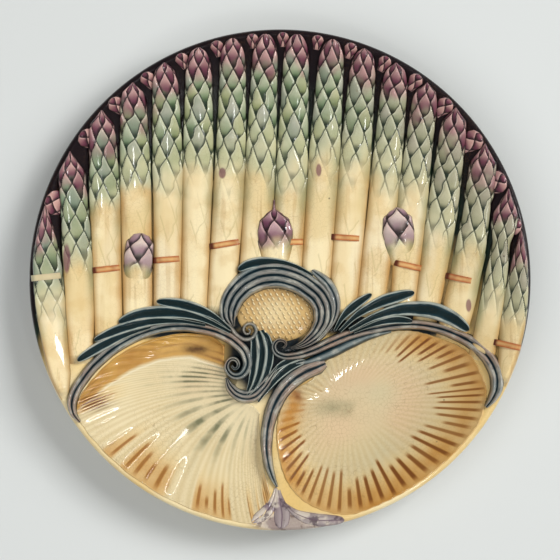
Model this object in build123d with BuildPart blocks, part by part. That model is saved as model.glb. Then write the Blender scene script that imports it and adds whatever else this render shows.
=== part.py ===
"""Asparagus plate: a moulded, glazed earthenware plate with a bundle of spears and two sauce shells.

The blank is a coupe plate on a foot ring. Every relief on its face is a piece of its own, lofted over the
face and cut to it, so that it seats on the plate and on what lies under it. Plan points are given in
hundredths of the plate's radius, with +Y towards the spears' tips and +Z up.
"""

import os
from functools import cache
from math import cos, hypot, pi, radians, sin, sqrt

from build123d import *

# Blank of the plate, in millimetres
PLATE_RADIUS = 120.0
PLATE_HEIGHT = 27.0
LIP_RADIUS = 2.0
FLOOR_RADIUS = 58.0
FLOOR_THICKNESS = 7.0
FOOT_RADIUS = 68.0
FOOT_WIDTH = 6.5
FOOT_HEIGHT = 4.5
FOOT_ROUNDING = 1.2

# Sauce shells, dished wells that lie in pockets of the blank
SHELL_BED = 2.2
SHELL_THICKNESS = 1.8
SHELL_LIP_RISE = 0.6
SHELL_EDGE_MARGIN = 4.2
LEFT_HINGE_RADIUS = 10.5
LEFT_HINGE_RISE = 3.0
RIGHT_HINGE_RADIUS = 5.0
RIB_RELIEF = 0.5
RIB_STATIONS = (0.0, 0.3, 0.55, 0.78, 0.92, 1.0)
LEFT_RIBS = 20
RIGHT_RIBS = 30
LIP_CURVE = 3
HINGE_CURVE = 4

# Asparagus spears
SPEAR_WIDTH = 15.0
SPEAR_HEIGHT = 4.5
SPEAR_GAP = 0.4
TIP_MARGIN = 3.4
TIP_LENGTH = 20.0
TIP_BLUNT = 4.0
TIP_LOW = 0.4
SPEAR_STATIONS = (0.0, 0.2, 0.4, 0.6, 0.76, 0.88, 0.95, 1.0)
HEAD_LENGTH = 48.0
HEAD_SHARE = 0.6
HEAD_SLIM = 0.84
NECK_LENGTH = 15.0
BRACT_PITCH = 6.6
BRACT_FIRST = 7.8
BRACT_TIP = 7.2
BRACT_HEEL = 5.2
BRACT_WIDTH = 6.8
BRACT_THICKNESS = 1.5
BRACT_PROUD = 0.6
BRACT_TURN = 38.0
RIM_TIP_WIDTH = 4.4
RIM_TIP_LENGTH = 10.0
RIM_TIP_HEIGHT = 3.2
RIM_TIP_ENDS = (0.9, 0.4)
BUD_RISE = 3.0
BUD_SEAT = 0.3
BUD_DROOP = 0.28
BUD_ENDS = (0.9, 0.2)
BAND_LENGTH = 3.0
BAND_PROUD = 0.5

# Rococo scrolls, leaves and cartouche; ends are the shares of the width at the start and at the tip
SCROLL_HEIGHT = 4.4
SCROLL_WIDTH = 5.0
SCROLL_ENDS = (0.4, 0.4)
LEAF_HEIGHT = 3.4
LEAF_ENDS = (0.7, 0.15)
LEAF_DROOP = 0.4
STRAND_HEIGHT = 3.8
STRAND_GAP = 0.3
STRANDS = 4
PANEL_HEIGHT = 1.6
TICK_HEIGHT = 0.7
TICK_LENGTH = 3.4
TICK_WIDTH = 1.3
TICK_LEAN = 55.0
TICK_PITCH = 4.2
TICK_ROW_PITCH = 2.9
TICK_MARGIN = 2.0
TOE_HEIGHT = 2.0

# How every relief is cut to the face: upright sides, and a root that runs into the blank
RELIEF_SIDE = 1.0
RELIEF_ROOT = 2.5
END_SLOPE = 4.0

# How finely the reliefs are lofted
CROWN_STEPS = 6
ARC_STEPS = 8
SCROLL_STATIONS = 32
STRAND_STATIONS = 14
STALK_STATIONS = 12
LEAF_STATIONS = 8
TIP_STATIONS = 4

# Plan of the ornament, in hundredths of the plate's radius
PLAN = PLATE_RADIUS / 100.0

# Each spear: x of its tip, a waist point and its foot
SPEARS = [
    (-94.6, (-92.8, -2.2), (-86.6, -43.0)),
    (-83.6, (-81.6, 19.8), (-79.6, -29.0)),
    (-71.0, (-70.0, 23.8), (-68.8, -19.4)),
    (-58.6, (-58.0, 35.8), (-57.2, -13.0)),
    (-46.0, (-45.2, 43.8), (-45.6, -9.0)),
    (-32.4, (-33.2, 39.8), (-34.8, -9.8)),
    (-18.8, (-20.4, 39.8), (-24.0, -9.8)),
    (-5.6, (-8.0, 43.8), (-10.0, 4.6)),
    (6.8, (4.8, 45.8), (2.8, 4.6)),
    (21.0, (17.6, 45.8), (14.4, -0.2)),
    (33.6, (29.6, 39.8), (25.2, -10.6)),
    (46.2, (42.4, 39.8), (36.4, -9.4)),
    (58.6, (53.6, 33.8), (49.6, -6.2)),
    (70.0, (65.2, 27.8), (58.8, -12.2)),
    (80.6, (75.2, 15.8), (69.6, -17.8)),
    (90.0, (84.8, 3.8), (81.2, -26.2)),
    (95.6, (92.8, -8.2), (88.8, -36.2)),
]

# Every other spear wears a band: number of the spear and y of the band
BANDS = {1: 1.6, 3: 4.4, 5: 8.2, 7: 13.8, 9: 15.4, 11: 17.2, 13: 6.0, 15: 0.8, 17: -25.4}

# Each bud: its foot, its tip and its half width
BUDS = {
    "bud_left": ((-56.8, -1.0), (-55.6, 18.6), 5.6),
    "bud_middle": ((-2.0, 9.4), (-2.4, 29.0), 7.0),
    "bud_right": ((52.0, 8.0), (47.2, 28.2), 6.8),
}

# Main ridges of the two scrolls, from the eye of the volute to the outer end
SCROLLS = {
    "scroll_left": [
        (-19.6, -34.2), (-17.4, -37.6), (-13.6, -36.2), (-13.0, -31.0), (-17.0, -24.6), (-26.0, -19.8),
        (-40.0, -17.8), (-54.0, -20.2), (-66.0, -26.2), (-77.0, -35.4), (-83.0, -44.4), (-82.0, -53.0),
    ],
    "scroll_right": [
        (0.6, -26.4), (-2.8, -26.6), (-1.8, -30.6), (5.0, -32.2), (14.0, -30.8), (28.0, -24.2),
        (42.0, -19.4), (54.0, -17.8), (68.0, -20.6), (80.0, -27.2), (86.6, -36.0), (87.0, -43.6),
        (83.6, -49.6),
    ],
}

# Acanthus leaves along the scrolls, from root to tip, with the half width
LEAVES = {
    "leaf_left_1": ([(-25.6, -14.6), (-36.0, -10.4), (-50.0, -8.6)], 2.9),
    "leaf_left_2": ([(-27.0, -17.0), (-44.0, -13.4), (-64.4, -16.6)], 2.6),
    "leaf_left_3": ([(-47.0, -16.4), (-60.0, -19.0), (-74.0, -23.4)], 2.3),
    "leaf_left_4": ([(-60.0, -22.0), (-71.0, -26.0), (-80.8, -31.4)], 2.3),
    "leaf_right_1": ([(24.0, -17.0), (28.8, -10.6), (35.6, -6.2)], 2.3),
    "leaf_right_2": ([(26.0, -18.6), (39.0, -9.8), (52.4, -5.2)], 2.7),
    "leaf_right_3": ([(38.0, -14.6), (56.0, -10.4), (74.8, -19.0)], 3.6),
    "leaf_right_4": ([(33.0, -18.8), (44.8, -15.6), (54.0, -16.2)], 1.9),
}

# Cartouche: centre, inner and outer half axes, and the volute at its left foot
CARTOUCHE_CENTRE = (-0.8, -13.0)
CARTOUCHE_INNER = (15.0, 10.6)
CARTOUCHE_OUTER = (24.0, 21.6)
CARTOUCHE_ARC = (196.0, -58.0)
VOLUTE_CENTRE = (-13.4, -21.0)
VOLUTE_RADIUS = 2.6
VOLUTE_ARC = (120.0, 440.0)
VOLUTE_SHRINK = 0.5
VOLUTE_HALF = 1.0
VOLUTE_ENDS = (1.0, 0.8)
PANEL_FLAT = -22.6

# Middle of the plate: a tongue of leaf, a swirl, and the stalk between the shells with its toe on the rim
CENTRE_LEAF = [(-7.2, -42.0), (-8.2, -36.0), (-8.4, -29.0), (-8.4, -23.4)]
CENTRE_LEAF_HALF = 4.4
CENTRE_LEAF_ENDS = (0.3, 0.6)
CENTRE_SWIRL = [(-22.0, -40.5), (-18.5, -45.0), (-13.5, -46.6), (-9.5, -44.8)]
CENTRE_SWIRL_HALF = 1.6
CENTRE_SWIRL_ENDS = (0.3, 0.5)
DIVIDER = [
    (16.0, -34.6), (7.0, -37.4), (0.2, -43.4), (-4.4, -52.0), (-5.8, -63.0), (-4.2, -75.0), (-1.2, -82.0),
]
DIVIDER_HALF = 3.2
DIVIDER_ENDS = (0.6, 0.35)
TOE_APEX = (0.0, -82.6)
TOE_ANGLES = (261.5, 285.5)

# Shells: where the ribs start, and the outline from the scroll round the rim to the middle
LEFT_HINGE = (-15.5, -38.5)
LEFT_OUTLINE = [
    (-27.0, -22.6), (-40.0, -21.8), (-54.0, -25.0), (-66.0, -31.6), (-76.0, -41.6), (-80.4, -50.4),
    (-77.0, -58.6), (-62.0, -76.0), (-34.0, -92.0), (-14.0, -97.0), (-7.5, -93.5), (-4.4, -86.0),
]
RIGHT_HINGE = (26.0, -48.2)
RIGHT_OUTLINE = [
    (19.4, -34.6), (30.0, -27.0), (42.0, -22.4), (54.0, -20.8), (66.0, -24.0), (77.0, -32.0), (82.0, -45.0),
    (78.0, -58.0), (60.0, -77.0), (42.0, -88.0), (24.0, -92.6), (8.0, -87.0), (0.6, -74.0), (-1.4, -60.0),
    (2.6, -48.0), (11.0, -40.6),
]

FLOOR_HEIGHT = FOOT_HEIGHT + FLOOR_THICKNESS
LIP_CENTRE = (PLATE_RADIUS - LIP_RADIUS, PLATE_HEIGHT - LIP_RADIUS)


def dish_radius(start_radius, start_height, side):
    """Radius of an arc that leaves a level and runs into the round lip, above it (1) or below it (-1)."""
    run = LIP_CENTRE[0] - start_radius
    rise = LIP_CENTRE[1] - start_height
    return (run**2 + rise**2 - LIP_RADIUS**2) / (2 * (rise + side * LIP_RADIUS))


FACE_ARC = dish_radius(FLOOR_RADIUS, FLOOR_HEIGHT, 1)
BACK_ARC = dish_radius(FOOT_RADIUS, FOOT_HEIGHT, -1)


def lip_point(start_radius, start_height, arc, side):
    """Point where such an arc touches the lip."""
    share = arc / (arc + side * LIP_RADIUS)
    centre_height = start_height + arc
    return (
        start_radius + (LIP_CENTRE[0] - start_radius) * share,
        centre_height + (LIP_CENTRE[1] - centre_height) * share,
    )


FACE_END = lip_point(FLOOR_RADIUS, FLOOR_HEIGHT, FACE_ARC, 1)
BACK_END = lip_point(FOOT_RADIUS, FOOT_HEIGHT, BACK_ARC, -1)


def arc_height(radius, start_radius, start_height, arc):
    """Height of a level that turns up along an arc."""
    if radius <= start_radius:
        return start_height
    return start_height + arc - sqrt(arc**2 - (radius - start_radius) ** 2)


def face_height(x, y):
    """Height of the plate's face above the table."""
    return arc_height(min(hypot(x, y), FACE_END[0]), FLOOR_RADIUS, FLOOR_HEIGHT, FACE_ARC)


def bed_height(x, y):
    """Height of the bed that a shell lies on, one bed thickness above the plate's back."""
    return arc_height(min(hypot(x, y), BACK_END[0]), FOOT_RADIUS, FOOT_HEIGHT, BACK_ARC) + SHELL_BED


def plan(point):
    """A plan point in millimetres."""
    return (point[0] * PLAN, point[1] * PLAN)


def inside_rim(point, margin):
    """The same point, drawn in where it is nearer to the rim than the margin."""
    share = min(1.0, (PLATE_RADIUS - margin) / hypot(*point))
    return (point[0] * share, point[1] * share)


def face_plane(x, y, direction):
    """Plane across a relief: X runs to its left along the face and Y stands up from it."""
    along = Vector(direction.X, direction.Y).normalized()
    left = Vector(-along.Y, along.X)
    slope = face_height(x + left.X / 2, y + left.Y / 2) - face_height(x - left.X / 2, y - left.Y / 2)
    return Plane((x, y, face_height(x, y)), x_dir=left + Vector(0, 0, slope), z_dir=along)


def crown(half, side, height):
    """Points of a round crown from its right side to its left side."""
    turns = [pi * step / CROWN_STEPS - pi / 2 for step in range(CROWN_STEPS + 1)]
    return [(half * sin(turn), side + (height - side) * cos(turn)) for turn in turns]


def section(plane, half, height, side=RELIEF_SIDE):
    """One cross-section of a relief, rooted in the blank."""
    root = [(half, -RELIEF_ROOT), (-half, -RELIEF_ROOT)]
    with BuildSketch(plane) as cut:
        with BuildLine():
            Polyline(*crown(half, side, height), *root, close=True)
        make_face()
    return cut.sketch


def relief(points, stations, half, height, ends=(1.0, 1.0), droop=0.0, side=RELIEF_SIDE):
    """Loft a relief along plan points, narrowed at its ends and lowered by a share towards its tip."""
    path = Edge.make_spline([Vector(*plan(point)) for point in points])
    sections = []
    for step in range(stations + 1):
        share = step / stations
        place = path @ share
        plane = face_plane(place.X, place.Y, path % share)
        width = min(1.0, ends[0] + share * END_SLOPE, ends[1] + (1 - share) * END_SLOPE)
        sections.append(section(plane, half * width, height * (1 - droop * share**2), side))
    loft(sections, ruled=True)


def oval_arc(centre, axes, start, end, shrink=0.0):
    """Plan points round an oval from one angle to another, drawn in by a share towards the end."""
    points = []
    for step in range(ARC_STEPS + 1):
        share = step / ARC_STEPS
        turn = radians(start + (end - start) * share)
        reach = 1 - shrink * share
        points.append((centre[0] + axes[0] * reach * cos(turn), centre[1] + axes[1] * reach * sin(turn)))
    return points


@cache
def bounds(solid):
    """Bounding box of a solid, worked out once."""
    return solid.bounding_box(optimal=False)


def apart(solid, other):
    """Whether the bounding boxes of two solids lie clear of each other."""
    gaps = [bounds(solid).min - bounds(other).max, bounds(other).min - bounds(solid).max]
    return any(max(gap) > 0 for gap in gaps)


def cut_to(part, *solids):
    """Cut the part in hand to what it lies on and beside."""
    for solid in solids:
        if not apart(part, solid):
            add(solid, mode=Mode.SUBTRACT, clean=False)


def main_solid(part):
    """The largest solid, without the crumbs that a cut leaves."""
    return part.solids().sort_by(SortBy.VOLUME)[-1]


def save(label, *solids):
    """Write one node: a solid, or a group of solids that share it."""
    if len(solids) == 1:
        node = solids[0]
    else:
        node = Compound(children=list(solids))
    node.label = label
    export_step(node, f"parts/{label}.step")


os.makedirs("parts", exist_ok=True)

# Blank: flat floor, dished face, round lip and a back that runs in to the foot
with BuildPart() as blank:
    with BuildSketch(Plane.XZ):
        with BuildLine():
            Line((0, FLOOR_HEIGHT), (FLOOR_RADIUS, FLOOR_HEIGHT))
            face_arc = TangentArc((FLOOR_RADIUS, FLOOR_HEIGHT), FACE_END, tangent=(1, 0))
            TangentArc(FACE_END, BACK_END, tangent=face_arc % 1)
            TangentArc((FOOT_RADIUS, FOOT_HEIGHT), BACK_END, tangent=(1, 0))
            Polyline((FOOT_RADIUS, FOOT_HEIGHT), (0, FOOT_HEIGHT), (0, FLOOR_HEIGHT))
        make_face()
    revolve(axis=Axis.Z)

# Foot ring under the blank
with BuildPart() as foot:
    with BuildSketch():
        Circle(FOOT_RADIUS)
        Circle(FOOT_RADIUS - FOOT_WIDTH, mode=Mode.SUBTRACT)
    extrude(amount=FOOT_HEIGHT)
    fillet(foot.faces().sort_by(Axis.Z)[0].edges(), radius=FOOT_ROUNDING)
save("foot_ring", foot.part)

# Bed: the thin part of the blank that is left under a shell
with BuildPart() as bed:
    with BuildSketch(Plane.XZ):
        with BuildLine():
            bed_end = (BACK_END[0], BACK_END[1] + SHELL_BED)
            bed_arc = TangentArc((FOOT_RADIUS, FOOT_HEIGHT + SHELL_BED), bed_end, tangent=(1, 0))
            outside = PLATE_RADIUS + LIP_RADIUS
            Polyline(bed_end, (outside, bed_end[1]), (outside, 0), (0, 0))
            Polyline((0, 0), (0, FOOT_HEIGHT + SHELL_BED), bed_arc @ 0)
        make_face()
    revolve(axis=Axis.Z)


def shell_edges(outline, ribs, closed):
    """Edge points of a shell, two for each rib, along its smooth outline."""
    points = [inside_rim(plan(point), SHELL_EDGE_MARGIN) for point in outline]
    edge = Edge.make_spline([Vector(*point) for point in points], periodic=closed)
    return [edge @ (step / (2 * ribs)) for step in range(2 * ribs + (0 if closed else 1))]


def rib_section(hinge, hinge_radius, hinge_rise, edge, number):
    """Upright section along one rib or groove, from the hinge to the scalloped edge."""
    start = Vector(*hinge) + (edge - Vector(*hinge)).normalized() * hinge_radius
    length = (edge - start).length
    along = (edge - start).normalized()
    relief_sign = 1 if number % 2 else -1
    edge_rise = face_height(edge.X, edge.Y) + SHELL_LIP_RISE - bed_height(edge.X, edge.Y) - SHELL_THICKNESS
    top = []
    for share in RIB_STATIONS:
        place = start + along * (length * share)
        ground = bed_height(place.X, place.Y)
        rise = edge_rise * share**LIP_CURVE + hinge_rise * (1 - share) ** HINGE_CURVE
        rib = relief_sign * RIB_RELIEF * sqrt(sin(pi * share))
        top.append((length * share, ground + SHELL_THICKNESS + rise + rib))
    with BuildSketch(Plane((start.X, start.Y, 0), x_dir=along, z_dir=along.cross(Vector(0, 0, 1)))) as cut:
        with BuildLine():
            Polyline(*top, (length, SHELL_BED), (0, SHELL_BED), close=True)
        make_face()
    return start, cut.sketch


def pocket_prism(points):
    """Upright prism over a shell's outline, from its bed to above the plate."""
    with BuildSketch() as outline:
        with BuildLine():
            Polyline(*[(point.X, point.Y) for point in points], close=True)
        make_face()
    extrude(outline.sketch, amount=2 * PLATE_HEIGHT)
    add(bed.part, mode=Mode.SUBTRACT)


# Left shell: ribs fan out from the hinge beside the volute
left_edges = shell_edges(LEFT_OUTLINE, LEFT_RIBS, closed=False)
left_ribs = [
    rib_section(plan(LEFT_HINGE), LEFT_HINGE_RADIUS, LEFT_HINGE_RISE, edge, number)
    for number, edge in enumerate(left_edges)
]
with BuildPart() as shell_left:
    loft([rib for start, rib in left_ribs], ruled=True)
    add(bed.part, mode=Mode.SUBTRACT)
save("shell_left", main_solid(shell_left.part))

with BuildPart() as pocket_left:
    pocket_prism([start for start, rib in left_ribs] + left_edges[::-1])

# Right shell: ribs radiate all round from the middle of the well, in two halves with a plain middle
right_edges = shell_edges(RIGHT_OUTLINE, RIGHT_RIBS, closed=True)
right_ribs = [
    rib_section(plan(RIGHT_HINGE), RIGHT_HINGE_RADIUS, 0.0, edge, number)
    for number, edge in enumerate(right_edges)
]
right_ribs.append(right_ribs[0])
with BuildPart() as shell_right:
    loft([rib for start, rib in right_ribs[: RIGHT_RIBS + 1]], ruled=True)
    loft([rib for start, rib in right_ribs[RIGHT_RIBS:]], ruled=True)
    with BuildSketch(Plane.XY.offset(bed_height(*plan(RIGHT_HINGE)) - SHELL_BED / 2)):
        with BuildLine():
            Polyline(*[(start.X, start.Y) for start, rib in right_ribs[:-1]], close=True)
        make_face()
    extrude(amount=SHELL_BED / 2 + SHELL_THICKNESS)
    add(bed.part, mode=Mode.SUBTRACT)
save("shell_right", main_solid(shell_right.part))

with BuildPart() as pocket_right:
    pocket_prism(right_edges)

# Body of the plate: the blank with the two pockets
with BuildPart() as body:
    add(blank.part)
    add(pocket_left.part, mode=Mode.SUBTRACT)
    add(pocket_right.part, mode=Mode.SUBTRACT)
save("plate_body", body.part)

# What every ornament is cut to, in the order in which the pieces are laid on the plate
wells = [pocket_left.part, pocket_right.part]
laid = []


def lay(label, part):
    """Keep a finished ornament, which later ones are cut to, and write it."""
    solid = main_solid(part)
    laid.append(solid)
    save(label, solid)


# Scrolls: a ridge that starts in the eye of a volute and sweeps out along a shell
for label, points in SCROLLS.items():
    with BuildPart() as scroll:
        relief(points, SCROLL_STATIONS, SCROLL_WIDTH / 2, SCROLL_HEIGHT, SCROLL_ENDS)
        cut_to(scroll.part, blank.part, *wells)
    lay(label, scroll.part)

# Leaves: long lobes that spring from the scrolls and end in a point
for label, (points, half_width) in LEAVES.items():
    with BuildPart() as leaf:
        relief(points, LEAF_STATIONS, half_width, LEAF_HEIGHT, LEAF_ENDS, LEAF_DROOP)
        cut_to(leaf.part, blank.part, *laid)
    lay(label, leaf.part)

# Middle: a tongue of leaf and a swirl under the left volute
with BuildPart() as centre_leaf:
    relief(CENTRE_LEAF, LEAF_STATIONS, CENTRE_LEAF_HALF, LEAF_HEIGHT, CENTRE_LEAF_ENDS)
    cut_to(centre_leaf.part, blank.part, *laid)
lay("centre_leaf", centre_leaf.part)

with BuildPart() as centre_swirl:
    relief(CENTRE_SWIRL, LEAF_STATIONS, CENTRE_SWIRL_HALF, LEAF_HEIGHT, CENTRE_SWIRL_ENDS)
    cut_to(centre_swirl.part, blank.part, *wells, *laid)
lay("centre_swirl", centre_swirl.part)

# Divider: the stalk between the shells
with BuildPart() as divider:
    relief(DIVIDER, STALK_STATIONS, DIVIDER_HALF, LEAF_HEIGHT, DIVIDER_ENDS)
    cut_to(divider.part, blank.part, *wells, *laid)
lay("divider", divider.part)

# Toe: a low leafy tip on the rim below the divider
with BuildPart() as toe:
    with BuildSketch():
        with BuildLine():
            rim = CenterArc((0, 0), PLATE_RADIUS - TIP_MARGIN, TOE_ANGLES[0], TOE_ANGLES[1] - TOE_ANGLES[0])
            Polyline(rim @ 1, plan(TOE_APEX), rim @ 0)
        make_face()
    extrude(amount=2 * PLATE_HEIGHT)
    with Locations((0, 0, TOE_HEIGHT)):
        add(blank.part, mode=Mode.INTERSECT)
    cut_to(toe.part, blank.part, *wells, *laid)
lay("toe_tip", toe.part)

# Cartouche: strands laid side by side round the panel, open at the lower left, and a curl at its left foot
scrollwork = list(laid)
ring_width = min(outer - inner for inner, outer in zip(CARTOUCHE_INNER, CARTOUCHE_OUTER)) * PLAN
strand_width = ring_width / STRANDS - STRAND_GAP
cartouche = []
for number in range(STRANDS):
    share_out = (number + 0.5) / STRANDS
    axes = [inner + (outer - inner) * share_out for inner, outer in zip(CARTOUCHE_INNER, CARTOUCHE_OUTER)]
    points = oval_arc(CARTOUCHE_CENTRE, axes, *CARTOUCHE_ARC)
    with BuildPart() as strand:
        relief(points, STRAND_STATIONS, strand_width / 2, STRAND_HEIGHT)
        cut_to(strand.part, blank.part, *laid)
    cartouche.append(main_solid(strand.part))
laid.extend(cartouche)
save("cartouche", *cartouche)

with BuildPart() as volute:
    points = oval_arc(VOLUTE_CENTRE, (VOLUTE_RADIUS, VOLUTE_RADIUS), *VOLUTE_ARC, VOLUTE_SHRINK)
    relief(points, STRAND_STATIONS, VOLUTE_HALF, STRAND_HEIGHT, VOLUTE_ENDS)
    cut_to(volute.part, blank.part, *laid)
lay("cartouche_volute", volute.part)
scrollwork.append(laid[-1])

# Basket panel: an oval pad with a flat foot and staggered ticks of weave
panel_x, panel_y = plan(CARTOUCHE_CENTRE)
panel_axes = [axis * PLAN - STRAND_GAP for axis in CARTOUCHE_INNER]
tick_axes = [axis - TICK_MARGIN for axis in panel_axes]
tick_columns = int(tick_axes[0] / TICK_PITCH) + 1
tick_rows = int(tick_axes[1] / TICK_ROW_PITCH)
with BuildPart() as panel:
    with BuildSketch(Plane.XY.offset(FLOOR_HEIGHT - RELIEF_ROOT)):
        with Locations((panel_x, panel_y)):
            Ellipse(*panel_axes)
        with Locations((panel_x, PANEL_FLAT * PLAN)):
            below = (Align.CENTER, Align.MAX)
            Rectangle(4 * panel_axes[0], 2 * panel_axes[1], align=below, mode=Mode.SUBTRACT)
    extrude(amount=RELIEF_ROOT + PANEL_HEIGHT)
    with BuildSketch(Plane.XY.offset(FLOOR_HEIGHT + PANEL_HEIGHT)):
        for row in range(-tick_rows, tick_rows + 1):
            for column in range(-tick_columns, tick_columns + 1):
                x = (column + row % 2 / 2) * TICK_PITCH
                y = row * TICK_ROW_PITCH
                if hypot(x / tick_axes[0], y / tick_axes[1]) < 1:
                    with Locations((panel_x + x, panel_y + y)):
                        SlotOverall(TICK_LENGTH, TICK_WIDTH, rotation=TICK_LEAN if row % 2 else -TICK_LEAN)
    extrude(amount=TICK_HEIGHT)
    cut_to(panel.part, blank.part, *scrollwork)
lay("basket_panel", panel.part)


def spear_points(number):
    """Foot, waist and tip of a spear in millimetres; the tips end on one circle inside the lip."""
    tip_x, waist, foot_point = SPEARS[number]
    reach = PLATE_RADIUS - TIP_MARGIN
    x = tip_x * PLAN
    return plan(foot_point), plan(waist), (x, sqrt(reach**2 - x**2))


def centre_x(number, y):
    """X of a spear's centre line at a given y: a parabola through its three points."""
    points = spear_points(number)
    total = 0.0
    for mine, (x, y_mine) in enumerate(points):
        weight = x
        for other, (_, y_other) in enumerate(points):
            if other != mine:
                weight *= (y - y_other) / (y_mine - y_other)
        total += weight
    return total


def lane_half(number, y):
    """Half of the lane that a spear has between its neighbours, or between a neighbour and the rim."""
    x = centre_x(number, y)
    room = [SPEAR_WIDTH / 2]
    for other in (number - 1, number + 1):
        if 0 <= other < len(SPEARS):
            room.append(abs(centre_x(other, y) - x) / 2)
    room.append(sqrt((PLATE_RADIUS - LIP_RADIUS / 2) ** 2 - y**2) - abs(x))
    return min(room) - SPEAR_GAP / 2


def head_length(number):
    """Length of a spear's head, which takes no more than its share of a short spear."""
    foot_point, waist, tip = spear_points(number)
    return min(HEAD_LENGTH, HEAD_SHARE * (tip[1] - foot_point[1]))


def spear_station(number, y):
    """Cross-section plane, half width and height of a spear at a given y; its head is slimmer."""
    tip_y = spear_points(number)[2][1]
    lean = centre_x(number, y + 0.5) - centre_x(number, y - 0.5)
    plane = face_plane(centre_x(number, y), y, Vector(lean, 1))
    roundness = min(1.0, sqrt((tip_y - y + TIP_BLUNT) / (TIP_LENGTH + TIP_BLUNT)))
    below_head = min(1.0, max(0.0, (tip_y - y - head_length(number)) / NECK_LENGTH))
    slimness = HEAD_SLIM + (1 - HEAD_SLIM) * below_head
    half = lane_half(number, min(y, tip_y)) * slimness * roundness
    return plane, half, SPEAR_HEIGHT * (TIP_LOW + (1 - TIP_LOW) * roundness)


def meets_band(number, y):
    """Whether a bract at a given y would reach the band of its spear."""
    reach = BRACT_TIP + BAND_LENGTH / 2 + SPEAR_GAP
    return number + 1 in BANDS and abs(y - BANDS[number + 1] * PLAN) < reach


def bract_plane(number, y, turn):
    """Plane that a bract grows from, turned about its spear and a little below the round of it."""
    plane, half, height = spear_station(number, y)
    ahead = face_plane(centre_x(number, y + 1), y + 1, plane.z_dir).origin
    along = (ahead - plane.origin).normalized()
    across = sin(radians(turn))
    up = cos(radians(turn))
    normal = plane.x_dir * (across / half) + plane.y_dir * (up / (height - RELIEF_SIDE))
    normal = (normal - along * normal.dot(along)).normalized()
    crest = RELIEF_SIDE + (height - RELIEF_SIDE) * up
    place = plane.origin + plane.x_dir * (half * across) + plane.y_dir * crest
    return Plane(place - normal * (BRACT_THICKNESS - BRACT_PROUD), x_dir=along, z_dir=normal)


# Spears: a D-shaped stem with a blunt tip, and rows of pointed bracts lying on the head
stems = []
for number in range(len(SPEARS)):
    foot_point, waist, tip = spear_points(number)
    length = tip[1] - foot_point[1]
    with BuildPart() as spear:
        sections = [
            section(*spear_station(number, foot_point[1] + length * share)) for share in SPEAR_STATIONS
        ]
        loft(sections, ruled=True)
        cut_to(spear.part, blank.part, *laid)
        stems.append(main_solid(spear.part))
        for row in range(int(head_length(number) / BRACT_PITCH)):
            y = tip[1] - BRACT_FIRST - row * BRACT_PITCH
            turns = (-BRACT_TURN, BRACT_TURN) if row % 2 else (0.0,)
            for turn in () if meets_band(number, y) else turns:
                side = BRACT_WIDTH * spear_station(number, y)[1] / SPEAR_WIDTH
                with BuildSketch(bract_plane(number, y, turn)):
                    with BuildLine():
                        Polyline((BRACT_TIP, 0), (0, side), (-BRACT_HEEL, 0), (0, -side), close=True)
                    make_face()
        extrude(amount=BRACT_THICKNESS, clean=False)
    save(f"spear_{number + 1:02d}", main_solid(spear.part))

# Rim tips: points of the back row that show between the spears at the rim
rim_tips = []
tip_reach = PLATE_RADIUS - TIP_MARGIN
for number in range(len(SPEARS) - 1):
    left_tip = Vector(*spear_points(number)[2])
    right_tip = Vector(*spear_points(number + 1)[2])
    outward = (left_tip + right_tip).normalized() / PLAN
    root = outward * (tip_reach - RIM_TIP_LENGTH)
    end = outward * tip_reach
    with BuildPart() as rim_tip:
        points = [(root.X, root.Y), (end.X, end.Y)]
        relief(points, TIP_STATIONS, RIM_TIP_WIDTH / 2, RIM_TIP_HEIGHT, RIM_TIP_ENDS)
        cut_to(rim_tip.part, blank.part, *stems[number : number + 2])
    rim_tips.append(main_solid(rim_tip.part))
save("rim_tips", *rim_tips)

# Buds: short spears that lie on top of the bundle
buds = []
for label, (foot_point, tip, half_width) in BUDS.items():
    with BuildPart() as bud:
        points = [foot_point, tip]
        height = SPEAR_HEIGHT + BUD_RISE
        relief(points, LEAF_STATIONS, half_width, height, BUD_ENDS, BUD_DROOP, SPEAR_HEIGHT + BUD_SEAT)
        cut_to(bud.part, blank.part, *laid, *stems)
    buds.append(main_solid(bud.part))
    save(label, buds[-1])

# Bands: narrow rings that lie over every other stem
bands = []
for number, band_y in BANDS.items():
    y = band_y * PLAN
    with BuildPart() as band:
        sections = []
        for offset in (-BAND_LENGTH / 2, BAND_LENGTH / 2):
            plane, half, height = spear_station(number - 1, y + offset)
            sections.append(section(plane, half, height + BAND_PROUD, RELIEF_SIDE + BAND_PROUD))
        loft(sections, ruled=True)
        cut_to(band.part, blank.part, *laid, stems[number - 1], *buds)
    bands.append(main_solid(band.part))
save("stem_bands", *bands)
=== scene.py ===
# %% [markdown]
# # A majolica asparagus plate
#
# The plate is one piece of moulded earthenware under thick coloured glazes. A bundle of asparagus fills its
# upper part, a scroll with a basket-weave cartouche lies across the middle, and two ribbed shells for sauce
# lie below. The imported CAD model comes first, because it fixes every size and place. Each later cell
# dresses some of its solids in a finer mesh and a glaze.

# %% The frame
from contextlib import contextmanager
from math import atan2, cos, hypot, pi, radians, sin, sqrt

import bmesh
import bpy
import numpy as np
from mathutils import Matrix, Vector


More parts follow.
